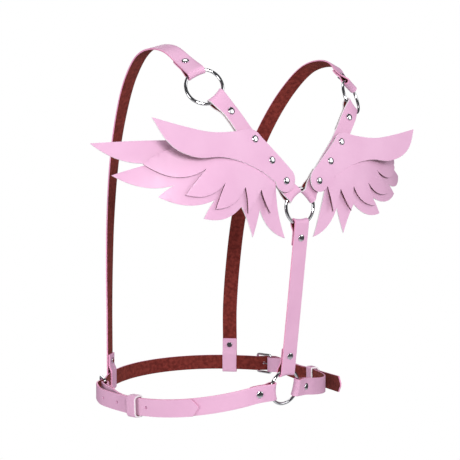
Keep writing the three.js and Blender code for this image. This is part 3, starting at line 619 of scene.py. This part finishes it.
COVER_UPPER = (
    (0.171, 0.2705), (0.139, 0.2638), (0.108, 0.2593), (0.080, 0.2608), (0.066, 0.2634),
)
COVER_CROWN = ((0.0545, 0.2648), (0.049, 0.2568))
COVER_ROUND = (0.0228, 0.2158)
COVER_ROUND_RADIUS = 0.0124
COVER_ROUND_ANGLES = (142.2, 347.4)
COVER_LOWER = (
    (0.048, 0.2214), (0.072, 0.2314), (0.098, 0.2364), (0.125, 0.2355),
    (0.1465, 0.2415), (0.1595, 0.2515), (0.171, 0.2705),
)


# Points of a round edge from one place to the next, without the last, pulled towards a control point
def drawn_edge(start, pull, end):
    start, pull, end = Vector(start), Vector(pull), Vector(end)
    shares = [step / FEATHER_STEPS for step in range(FEATHER_STEPS)]
    return [start * (1 - t) ** 2 + pull * (2 * t * (1 - t)) + end * (t * t) for t in shares]


def bowed_edge(start, end, bow):
    start, end = Vector(start), Vector(end)
    line = (end - start).normalized()
    return drawn_edge(start, (start + end) / 2 + Vector((-line.y, line.x)) * (2 * bow), end)


def feather_outline(root, feathers, corners):
    outline = []
    here = root
    for feather in feathers:
        outline += bowed_edge(here, feather.tip, feather.upper_bow)
        outline += bowed_edge(feather.tip, feather.notch, feather.lower_bow)
        here = feather.notch
    return [*outline, Vector(here), *(Vector(corner) for corner in corners)]


def cover_outline():
    upper = smooth_line(COVER_UPPER, FEATHER_STEPS // 2)
    crown = drawn_edge(COVER_UPPER[-1], *COVER_CROWN)
    first, last = (radians(angle) for angle in COVER_ROUND_ANGLES)
    arc = []
    for step in range(FEATHER_STEPS + 1):
        angle = first + (last - first) * step / FEATHER_STEPS
        arc.append(Vector(COVER_ROUND) + Vector((cos(angle), sin(angle))) * COVER_ROUND_RADIUS)
    lower = smooth_line([arc[-1], *COVER_LOWER], FEATHER_STEPS // 2)
    return [*upper[:-1], *crown, Vector(COVER_CROWN[-1]), *arc[:-1], *lower[:-1]]


def cut_sheet(name, outline):
    clear_selection()
    bpy.ops.mesh.primitive_circle_add(vertices=len(outline), radius=LATTICE)
    sheet = named(name)
    bpy.ops.object.mode_set(mode="EDIT")
    mesh = bmesh.from_edit_mesh(sheet.data)
    for corner, (x, z) in zip(mesh.verts, outline):
        corner.co = (x, 0, z)
    bmesh.update_edit_mesh(sheet.data)
    for x, z in WING_RIVETS.values():
        bpy.ops.mesh.primitive_circle_add(
            vertices=HOLE_SIDES, radius=RIVET_HOLE_RADIUS, location=(x, 0, z), rotation=(pi / 2, 0, 0)
        )
    bpy.ops.mesh.select_all(action="SELECT")
    bpy.ops.mesh.fill(use_beauty=True)
    reach = max(max(point) for point in outline)
    for step in range(1, int(reach / LATTICE) + 1):
        for axis in ((1, 0, 0), (0, 0, 1)):
            bpy.ops.mesh.select_all(action="SELECT")
            bpy.ops.mesh.bisect(plane_co=Vector(axis) * step * LATTICE, plane_no=axis)
    bpy.ops.mesh.select_all(action="SELECT")
    bpy.ops.mesh.normals_make_consistent(inside=False)
    mesh = bmesh.from_edit_mesh(sheet.data)
    if sum(face.normal.y for face in mesh.faces) > 0:
        bpy.ops.mesh.flip_normals()
    bpy.ops.object.mode_set(mode="OBJECT")
    return sheet


# How far a place on a layer of loose feathers has opened up. The layers are held together along the
# rivets. Away from them the long feathers bend back and the middle ones out, most near the midline.
def opened_by(x, z, opening):
    low, top = Vector(WING_RIVETS["low"]), Vector(WING_RIVETS["top"])
    line = (top - low).normalized()
    away = Vector((x, z)) - low
    share = ease(opening.start, opening.end, away.x * line.y - away.y * line.x)
    return share * (opening.outer + opening.inner * (1 - ease(*FEATHERS_NEAR_MIDLINE, x)))


# A layer with an opening is loose and wraps round the side, and one without lies flat
def make_wing_layer(layer, outline, edge, stand, opening=None):
    sheet = cut_sheet(f"wing_{layer}_right_leather", outline)
    for corner in sheet.data.vertices:
        x, _, z = corner.co
        lift = opened_by(x, z, opening) if opening else 0
        corner.co, _ = back_place(x, z, opening is not None, stand + lift)
    thicken(sheet, WING_THICK, (wing_face, suede_back, edge), WING_EDGE_ROUND)
    smooth_faces(sheet)
    hand_over_pair(sheet, f"wing_{layer}")


wing_face = leather_face("wing_leather_face", WING_PINK_LIGHT, WING_PINK_DEEP)
# The middle feathers' cut edges get painted shade: a near-black maroon in place of the dark slits
# between them.
painted_slit_shade_edge = leather_edge("painted_slit_shade_edge", PAINTED_SLIT_SHADE_PALE, PAINTED_SLIT_SHADE_DARK)
first_stand = WING_STACK_START + WING_THICK / 2
long_outline = feather_outline(LONG_ROOT, LONG_FEATHERS, LONG_CORNERS)
middle_outline = feather_outline(MIDDLE_ROOT, MIDDLE_FEATHERS, MIDDLE_CORNERS)
make_wing_layer("long", long_outline, raw_edge, first_stand, LONG_OPENING)
make_wing_layer("middle", middle_outline, painted_slit_shade_edge, first_stand + WING_STEP, MIDDLE_OPENING)
make_wing_layer("cover", cover_outline(), raw_edge, first_stand + 2 * WING_STEP)

# Side belts. A strap of the same leather from the waist ring round each side to the buckle, turned and
# riveted at both ends. It drops from the ring to the waist line, and is slit for the buckle's prong.
WAIST_RADIUS = 0.124
BELT_DROP = 0.0235
BELT_DROP_TURN = 44
BELT_DROP_POWER = 1.5
BELT_RISE = 0.0045
BELT_RISE_TURNS = (88, 108)
SIDE_TURNS = (15, 111.5)
SIDE_ROW_STEP = 6
SIDE_STEPS = 6
SIDE_LIFT = 0.0056
SIDE_LIFT_TURNS = (97, 109)
BAR_RADIUS = 0.0015
BAR_ROOM = 0.0007
BAR_HOLLOW = 2 * (BAR_RADIUS + BAR_ROOM)
BELT_TO_RIVET = 0.014
HEEL_TO_RIVET = 0.0192
BUCKLE_LENGTH = 0.020
BUCKLE_SIDE_ROOM = 0.0008
PRONG_RADIUS = 0.0011
PRONG_ROOM = 0.0005
SLIT_RADIUS = PRONG_RADIUS + PRONG_ROOM
PRONG_TIP_LIFT = 0.00205


# A place on the belt's middle at a turn in degrees from the back, lifted off the waist, and its way out
def waist_place(turn, lift=0, droop=0):
    near = min(turn, 360 - turn)
    drop = BELT_DROP * (1 - exp(-((near / BELT_DROP_TURN) ** BELT_DROP_POWER)))
    height = BELT_RISE * ease(*BELT_RISE_TURNS, near) - drop - droop
    angle = radians(turn)
    out = Vector((sin(angle), -cos(angle), 0))
    reach = WAIST_RADIUS + STRAP_THICK / 2 + lift
    return waist + Vector((0, WAIST_RADIUS, height)) + out * reach, out


def turns_between(first, last, step):
    count = round((last - first) / step)
    return [first + (last - first) * i / count for i in range(count + 1)]


# Cuts the slit that a prong passes through, all along the prong
def cut_slit(piece, start, end):
    punch(piece, [((start + end) / 2, end - start)], SLIT_RADIUS, (end - start).length)


side_rows = []
for turn in turns_between(*SIDE_TURNS, SIDE_ROW_STEP):
    side_rows.append(waist_place(turn, SIDE_LIFT * ease(*SIDE_LIFT_TURNS, turn)))
side_start = leave_ring("ring_waist", side_rows[0][0])
side_run = smooth_run([side_start, *side_rows], SIDE_STEPS)
side_heel = turned_back(side_run)
side_rivets = [station_at(side_run, BELT_TO_RIVET), station_at(side_heel, HEEL_TO_RIVET)]
heel = side_heel[0]
heel_bar = heel.at - heel.face * (BAR_HOLLOW + STRAP_THICK) / 2
forward = -heel.along
prong_tip = heel_bar + forward * (BUCKLE_LENGTH + BAR_RADIUS) + heel.face * PRONG_TIP_LIFT
side_started = fold_start(side_run, RING_HOLLOW, to_rivet=BELT_TO_RIVET)
side_belt = lay_strap(
    "belt_side_right_leather", fold_end(side_started, BAR_HOLLOW, sag=0, to_rivet=HEEL_TO_RIVET)
)
thicken(side_belt, STRAP_THICK, (pink_face, suede_back, pink_edge))
punch_for_rivets(side_belt, side_rivets)
cut_slit(side_belt, heel_bar, prong_tip)
smooth_faces(side_belt)
hand_over_pair(side_belt, "belt_side")

# Buckles. A plated wire frame with rounded corners, held in the side belt's fold by its heel bar, and a
# straight prong from that bar that passes the tongue and rests on the far bar.
# The frame's section is extruded along each side and spun round each corner.
BUCKLE_CORNER = 0.002
BAR_SIDES = 16
CORNER_STEPS = 8
PRONG_TIP_STEP = 0.7 * PRONG_RADIUS
PRONG_TIP_SHARES = (0.95, 0.75, 0.35)


def make_buckle(name):
    half = STRAP_WIDTH / 2 + BUCKLE_SIDE_ROOM + BAR_RADIUS
    clear_selection()
    bpy.ops.mesh.primitive_circle_add(vertices=BAR_SIDES, radius=BAR_RADIUS, rotation=(pi / 2, 0, 0))
    buckle = named(name)
    bpy.ops.object.transform_apply(location=True, rotation=True, scale=True)
    bpy.ops.object.mode_set(mode="EDIT")
    bpy.ops.mesh.select_all(action="SELECT")
    side, end = BUCKLE_LENGTH - 2 * BUCKLE_CORNER, half - BUCKLE_CORNER
    near, far = BUCKLE_CORNER, BUCKLE_LENGTH - BUCKLE_CORNER
    legs = (
        ((0, end, 0), (near, end, 0)),
        ((side, 0, 0), (far, end, 0)),
        ((0, -2 * end, 0), (far, -end, 0)),
        ((-side, 0, 0), (near, -end, 0)),
    )
    for leg, centre in legs:
        bpy.ops.mesh.extrude_region_move(TRANSFORM_OT_translate={"value": leg})
        bpy.ops.mesh.spin(steps=CORNER_STEPS, angle=pi / 2, center=centre, axis=(0, 0, 1))
    bpy.ops.mesh.extrude_region_move(TRANSFORM_OT_translate={"value": (0, end, 0)})
    close_seams()
    bpy.ops.object.mode_set(mode="OBJECT")
    return buckle


def make_prong(name):
    clear_selection()
    length = (prong_tip - heel_bar).length
    bpy.ops.mesh.primitive_circle_add(
        vertices=BAR_SIDES, radius=PRONG_RADIUS, rotation=(0, pi / 2, 0), fill_type="NGON"
    )
    prong = named(name)
    bpy.ops.object.transform_apply(location=True, rotation=True, scale=True)
    bpy.ops.object.mode_set(mode="EDIT")
    bpy.ops.mesh.select_all(action="SELECT")
    shank = (length - 2 * PRONG_RADIUS, 0, 0)
    bpy.ops.mesh.extrude_region_move(TRANSFORM_OT_translate={"value": shank})
    for share in PRONG_TIP_SHARES:
        bpy.ops.mesh.extrude_region_move(TRANSFORM_OT_translate={"value": (PRONG_TIP_STEP, 0, 0)})
        bpy.ops.transform.resize(value=(1, share, share))
    close_seams()
    bpy.ops.object.mode_set(mode="OBJECT")
    return prong


def make_buckle_piece():
    buckle = make_buckle("buckle_right_wire")
    frame_turn = Matrix((forward, heel.face.cross(forward), heel.face)).transposed().to_4x4()
    buckle.matrix_world = Matrix.Translation(heel_bar) @ frame_turn
    prong = make_prong("prong_right")
    lean = (prong_tip - heel_bar).normalized()
    prong_turn = Matrix((lean, heel.across, lean.cross(heel.across))).transposed().to_4x4()
    prong.matrix_world = Matrix.Translation(heel_bar) @ prong_turn
    select_only(buckle)
    prong.select_set(True)
    bpy.ops.object.transform_apply(location=True, rotation=True, scale=True)
    bpy.ops.object.join()
    bpy.ops.object.shade_smooth_by_angle(angle=SMOOTH_ANGLE)
    buckle.data.materials.append(metal)
    return buckle


buckle_right = make_buckle_piece()
hand_over_pair(buckle_right, "buckle")

# Front belt. One strap of the same leather round the front, whose two pointed ends are tongues. Each
# tongue passes its buckle, bulges over it and lies back along the side belt. The right tip springs away.
# Adjusting holes are punched in both tongues.
TONGUE_TURN = 46.2
TONGUE_POINT = 0.0066
TONGUE_TIP_HALF = 0.001
TONGUE_GAP = 0.0005
TONGUE_BULGE = 0.012
TONGUE_BULGE_TURN = 110
TONGUE_DOWN_TURN = 87
TONGUE_UNDER_TURN = 122
TONGUE_UNDER_LIFT = 0.001
TONGUE_FLAT_TURN = 132
TONGUE_DROOP = 0.0035
TONGUE_DROOP_TURN = 8
TONGUE_HOLE_TURNS = (69.8, 80.3, 90.8, 101.3)
TONGUE_HOLE_RADIUS = 0.0016
TONGUE_HOLE_REACH = 4 * STRAP_THICK
TIP_SPRING = 0.0136
TIP_SPRING_TURN = 75
FRONT_STEP = 1.5
OVER_SIDE = STRAP_THICK + TONGUE_GAP


def flipped(place):
    return Vector((-place.x, place.y, place.z))


def tongue_place(turn):
    near = min(turn, 360 - turn)
    rise = ease(0, TONGUE_UNDER_TURN - TONGUE_BULGE_TURN, TONGUE_UNDER_TURN - near)
    settle = ease(0, TONGUE_BULGE_TURN - TONGUE_DOWN_TURN, TONGUE_BULGE_TURN - near)
    under = TONGUE_UNDER_LIFT * (1 - ease(TONGUE_UNDER_TURN, TONGUE_FLAT_TURN, near))
    over = (OVER_SIDE - TONGUE_UNDER_LIFT) * rise
    bulge = (TONGUE_BULGE - OVER_SIDE) * rise * (1 - settle)
    sprung = max(0, TIP_SPRING_TURN - turn) / (TIP_SPRING_TURN - TONGUE_TURN)
    droop = TONGUE_DROOP * ease(0, TONGUE_DROOP_TURN, SIDE_TURNS[1] - near) * (1 - settle)
    return waist_place(turn, under + over + bulge + TIP_SPRING * sprung ** 2, droop)


front_turns = turns_between(TONGUE_TURN, 360 - TONGUE_TURN, FRONT_STEP)
front_places, front_outs = zip(*(tongue_place(turn) for turn in front_turns))
front_run = stations_through(front_places, front_outs)
first, last = front_run[0], front_run[-1]
right_tip = first._replace(at=first.at - first.along * TONGUE_POINT, half=TONGUE_TIP_HALF)
left_tip = last._replace(at=last.at + last.along * TONGUE_POINT, half=TONGUE_TIP_HALF)
front_belt = lay_strap("belt_front_leather", [right_tip, *front_run, left_tip])
thicken(front_belt, STRAP_THICK, (pink_face, suede_back, pink_edge))
tongue_holes = []
for turn in TONGUE_HOLE_TURNS:
    for side in (turn, 360 - turn):
        places, outs = zip(*(tongue_place(side + step) for step in (-1, 0, 1)))
        station = stations_through(places, outs)[1]
        tongue_holes.append((station.at, station.face))
punch(front_belt, tongue_holes, TONGUE_HOLE_RADIUS, TONGUE_HOLE_REACH)
cut_slit(front_belt, heel_bar, prong_tip)
cut_slit(front_belt, flipped(heel_bar), flipped(prong_tip))
smooth_faces(front_belt)
hand_over(front_belt, "belt_front")

# Keepers. A short band of the same leather with raw pale edges, closed to a loop round the side belt
# and the tongue. A strip is laid round the loop's section, its ends are merged, and it is thickened.
KEEPER_TURN = 77.4
KEEPER_WIDTH = 0.0125
KEEPER_THICK = 0.002
KEEPER_STAND = 0.0032
KEEPER_ROOM = 0.0006
KEEPER_INNER_CORNER = 0.0011
KEEPER_OUTER_CORNER = 0.0042
KEEPER_CORNER_STEPS = 6


def make_keeper(name):
    at, out = waist_place(KEEPER_TURN)
    before, _ = waist_place(KEEPER_TURN - 1)
    along = (at - before).normalized()
    across = along.cross(out).normalized()
    face = across.cross(along)
    inset = KEEPER_THICK / 2
    side = STRAP_WIDTH / 2 + KEEPER_ROOM + inset
    floor = -STRAP_THICK / 2 - KEEPER_ROOM - inset
    roof = OVER_SIDE + STRAP_THICK / 2 + KEEPER_STAND + inset
    tight, soft = KEEPER_INNER_CORNER, KEEPER_OUTER_CORNER
    corners = (
        (-side + tight, floor + tight, tight, 180),
        (side - tight, floor + tight, tight, 270),
        (side - soft, roof - soft, soft, 0),
        (-side + soft, roof - soft, soft, 90),
    )
    loop = []
    for u, v, radius, turn in corners:
        for step in range(KEEPER_CORNER_STEPS + 1):
            angle = radians(turn + 90 * step / KEEPER_CORNER_STEPS)
            normal = across * cos(angle) + face * sin(angle)
            place = at + across * u + face * v + normal * radius
            loop.append(Station(place, normal.cross(along), along, normal, KEEPER_WIDTH / 2))
    keeper = lay_strap(name, [*loop, loop[0]])
    bpy.ops.object.mode_set(mode="EDIT")
    close_seams()
    bpy.ops.object.mode_set(mode="OBJECT")
    thicken(keeper, KEEPER_THICK, (pink_face, suede_back, raw_edge))
    smooth_faces(keeper)
    return keeper


keeper_right = make_keeper("keeper_right_leather")
hand_over_pair(keeper_right, "keeper")

# Shoulder straps. A long strap of the same leather from each shoulder ring over the shoulder and down
# the front, where its end is turned up behind the belt as a loop and riveted.
# The rows give the strap's middle, from the waist ring, and the way its face looks there.
SHOULDER_ROWS = (
    ((0.1045, 0.0275, 0.331), (0.36, -0.62, 0.7)),
    ((0.1095, 0.047, 0.345), (0.32, -0.3, 0.9)),
    ((0.112, 0.070, 0.3495), (0.3, 0.02, 0.95)),
    ((0.112, 0.096, 0.345), (0.3, 0.4, 0.86)),
    ((0.109, 0.128, 0.322), (0.32, 0.72, 0.6)),
    ((0.103, 0.160, 0.282), (0.4, 0.82, 0.42)),
    ((0.097, 0.186, 0.232), (0.5, 0.82, 0.28)),
    ((0.0925, 0.203, 0.172), (0.58, 0.8, 0.17)),
    ((0.0895, 0.212, 0.110), (0.64, 0.76, 0.1)),
)
LOOP_TURN = 136.5
LOOP_GAP = 0.0005
LOOP_HOLLOW = STRAP_THICK + 2 * LOOP_GAP
LOOP_STRAIGHT = 0.020
LOOP_TO_RIVET = 0.032
LOOP_HEIGHTS = (0.070, 0.026, 0.008, -STRAP_WIDTH / 2 - LOOP_GAP)
SHOULDER_STEPS = 14

shoulder_rows = [(waist + Vector(place), Vector(out).normalized()) for place, out in SHOULDER_ROWS]
loop_place, loop_out = waist_place(LOOP_TURN, STRAP_THICK + LOOP_GAP)
loop_rows = [(loop_place + Vector((0, 0, height)), loop_out) for height in LOOP_HEIGHTS]
shoulder_top = leave_ring("ring_shoulder_right", shoulder_rows[0][0])
shoulder_run = smooth_run([shoulder_top, *shoulder_rows, *loop_rows], SHOULDER_STEPS)
shoulder_rivets = [
    station_at(shoulder_run, FOLD_TO_RIVET),
    station_at(turned_back(shoulder_run), LOOP_TO_RIVET),
]
shoulder_folded = fold_end(
    fold_start(shoulder_run, RING_HOLLOW), LOOP_HOLLOW,
    sag=0, straight=LOOP_STRAIGHT, to_rivet=LOOP_TO_RIVET,
)
shoulder = lay_strap("shoulder_right_leather", shoulder_folded)
finish_strap(shoulder, shoulder_rivets, pink_edge)
hand_over_pair(shoulder, "shoulder_strap")

# Rivets. Plated double caps: a domed head outside, a flat cap inside and a post through the punched
# leather. The profile is drawn corner by corner and spun round the post, and the post of each copy is
# drawn out to the thickness that it grips.
RIVET_HEAD_RADIUS = 0.0037
RIVET_HEAD_HEIGHT = 0.0014
RIVET_RIM = 0.00035
RIVET_DOME_STEPS = 8
RIVET_CAP_RADIUS = 0.0034
RIVET_CAP_THICK = 0.0009
RIVET_CAP_BEVEL = 0.4 * RIVET_CAP_THICK
RIVET_POST_RADIUS = 0.0012
RIVET_SPIN_STEPS = 32
FOLD_INNER = 1.5 * STRAP_THICK + 2 * GAP
FOLD_OUTER = STRAP_THICK / 2
WING_OUTER = WING_STACK_START + 3 * WING_THICK + 2 * GAP


def rivet_profile():
    profile = [
        (0, -GAP - RIVET_CAP_THICK),
        (RIVET_CAP_RADIUS - RIVET_CAP_BEVEL, -GAP - RIVET_CAP_THICK),
        (RIVET_CAP_RADIUS, -GAP - RIVET_CAP_THICK + RIVET_CAP_BEVEL),
        (RIVET_CAP_RADIUS, -GAP),
        (RIVET_POST_RADIUS, -GAP),
        (RIVET_POST_RADIUS, GAP),
        (RIVET_HEAD_RADIUS - RIVET_RIM / 2, GAP),
    ]
    for step in range(RIVET_DOME_STEPS + 1):
        angle = pi / 2 * step / RIVET_DOME_STEPS
        rise = RIVET_RIM + (RIVET_HEAD_HEIGHT - RIVET_RIM) * sin(angle)
        profile.append((RIVET_HEAD_RADIUS * cos(angle), GAP + rise))
    return profile


def make_plain_rivet():
    profile = rivet_profile()
    clear_selection()
    bpy.ops.mesh.primitive_circle_add(vertices=len(profile), radius=RIVET_HEAD_RADIUS)
    rivet = named("plain_rivet")
    bpy.ops.object.mode_set(mode="EDIT")
    mesh = bmesh.from_edit_mesh(rivet.data)
    for corner, (radius, height) in zip(mesh.verts, profile):
        corner.co = (radius, 0, height)
    axis_edge = [edge for edge in mesh.edges if all(end.co.x < SHORTEST for end in edge.verts)]
    bmesh.ops.delete(mesh, geom=axis_edge, context="EDGES")
    bmesh.update_edit_mesh(rivet.data)
    bpy.ops.mesh.select_all(action="SELECT")
    bpy.ops.mesh.spin(steps=RIVET_SPIN_STEPS, angle=2 * pi, center=(0, 0, 0), axis=(0, 0, 1))
    close_seams()
    bpy.ops.object.mode_set(mode="OBJECT")
    bpy.ops.object.shade_smooth_by_angle(angle=SMOOTH_ANGLE)
    rivet.data.materials.append(metal)
    return rivet


def add_rivet(node, station, inner, outer):
    rivet = copy_of(plain_rivet, node + "_cap")
    for corner in rivet.data.vertices:
        corner.co.z += outer if corner.co.z > 0 else -inner
    set_down(rivet, station.at, station.face)
    hand_over(rivet, node)


def add_rivet_pair(name, station, inner, outer):
    left = station._replace(at=flipped(station.at), face=flipped(station.face))
    add_rivet(f"{name}_right", station, inner, outer)
    add_rivet(f"{name}_left", left, inner, outer)


plain_rivet = make_plain_rivet()
add_rivet("rivet_spine_top", spine_rivets[0], FOLD_INNER, FOLD_OUTER)
add_rivet("rivet_spine_foot", spine_rivets[1], FOLD_INNER, FOLD_OUTER)
add_rivet_pair("rivet_diagonal", diagonal_rivet, FOLD_INNER + GAP, FOLD_OUTER + GAP)
for name, station in zip(WING_RIVETS, wing_rivets):
    wing_inner = FOLD_INNER if name == "low" else FOLD_OUTER
    add_rivet_pair(f"rivet_wing_{name}", station, wing_inner, WING_OUTER)
add_rivet_pair("rivet_belt", side_rivets[0], FOLD_INNER, FOLD_OUTER)
add_rivet_pair("rivet_buckle", side_rivets[1], FOLD_INNER + GAP, FOLD_OUTER + GAP)
add_rivet_pair("rivet_shoulder", shoulder_rivets[0], FOLD_INNER, FOLD_OUTER)
add_rivet_pair("rivet_loop", shoulder_rivets[1], FOLD_INNER, FOLD_OUTER)
bpy.data.objects.remove(plain_rivet)

# Floor, light and camera. A plain pale paper floor under the harness, and soft white light from behind,
# the left, the front and above. The camera stands behind the left shoulder, as high as the middle of the
# back. It sees a white backdrop, and shiny surfaces reflect a darker room.
FLOOR_DROP = 0.95
FLOOR_RADIUS = 2.4
FLOOR_SIDES = 96
FLOOR_ROUGHNESS = 0.9
FLOOR_CLOUD_SCALE = 3.0
FLOOR_LIGHT = (0.9, 0.9, 0.9, 1)
FLOOR_DEEP = (0.86, 0.86, 0.87, 1)
Lamp = namedtuple("Lamp", "place size power")
STUDIO_LAMPS = (
    Lamp((-0.72, -1.3, 0.17), 0.35, 13.5),
    Lamp((-1.5, -0.1, -0.2), 0.6, 5.5),
    Lamp((1.1, -1.45, 0.5), 1.2, 9.5),
    Lamp((0.3, 1.7, 0.5), 1.5, 10),
    Lamp((0, 0.2, 2.2), 1.0, 9),
)
BACKDROP_COLOUR = (1, 1, 1, 1)
BACKDROP_STRENGTH = 1.0
ROOM_COLOUR = (0.95, 0.97, 1.0, 1)
ROOM_STRENGTH = 0.24
REFLECTED_ROOM_STRENGTH = 0.08
CAMERA_PLACE = (-0.6019, -0.7965, -0.1323)
CAMERA_PITCH = -3.237
CAMERA_YAW = 36.187
CAMERA_LENS = 71.47

clear_selection()
bpy.ops.mesh.primitive_circle_add(
    vertices=FLOOR_SIDES, radius=FLOOR_RADIUS, fill_type="NGON", location=(0, 0, cad_low.z - FLOOR_DROP)
)
floor = named("floor")
floor_material, floor_nodes, floor_links = new_material("floor_paper")
floor_nodes["Principled BSDF"].inputs["Roughness"].default_value = FLOOR_ROUGHNESS
floor_cloud = noise(floor_nodes, floor_links, FLOOR_CLOUD_SCALE)
tint(floor_nodes, floor_links, floor_cloud, FLOOR_DEEP, FLOOR_LIGHT)
floor.data.materials.append(floor_material)

aim = (cad_low + cad_high) / 2
for lamp in STUDIO_LAMPS:
    clear_selection()
    bpy.ops.object.light_add(type="AREA", location=lamp.place)
    light = bpy.context.object
    light.data.size = lamp.size
    light.data.energy = lamp.power
    light.rotation_euler = (aim - Vector(lamp.place)).to_track_quat("-Z", "Y").to_euler()

world = bpy.data.worlds.new("studio")
bpy.context.scene.world = world
world.use_nodes = True
world_nodes, world_links = world.node_tree.nodes, world.node_tree.links
backdrop = world_nodes["Background"]
room = world_nodes.new("ShaderNodeBackground")
reflected_room = world_nodes.new("ShaderNodeBackground")
for wall, colour, strength in (
    (backdrop, BACKDROP_COLOUR, BACKDROP_STRENGTH),
    (room, ROOM_COLOUR, ROOM_STRENGTH),
    (reflected_room, ROOM_COLOUR, REFLECTED_ROOM_STRENGTH),
):
    wall.inputs["Color"].default_value = colour
    wall.inputs["Strength"].default_value = strength
rays = world_nodes.new("ShaderNodeLightPath")
shine = world_nodes.new("ShaderNodeMixShader")
blend = world_nodes.new("ShaderNodeMixShader")
world_links.new(rays.outputs["Is Glossy Ray"], shine.inputs["Fac"])
world_links.new(room.outputs["Background"], shine.inputs[1])
world_links.new(reflected_room.outputs["Background"], shine.inputs[2])
world_links.new(rays.outputs["Is Camera Ray"], blend.inputs["Fac"])
world_links.new(shine.outputs["Shader"], blend.inputs[1])
world_links.new(backdrop.outputs["Background"], blend.inputs[2])
world_links.new(blend.outputs["Shader"], world_nodes["World Output"].inputs["Surface"])

bpy.context.scene.view_settings.view_transform = "Standard"
clear_selection()
bpy.ops.object.camera_add(
    location=CAMERA_PLACE, rotation=(radians(90 + CAMERA_PITCH), 0, radians(-CAMERA_YAW))
)
camera = bpy.context.object
camera.data.lens = CAMERA_LENS
bpy.context.scene.camera = camera
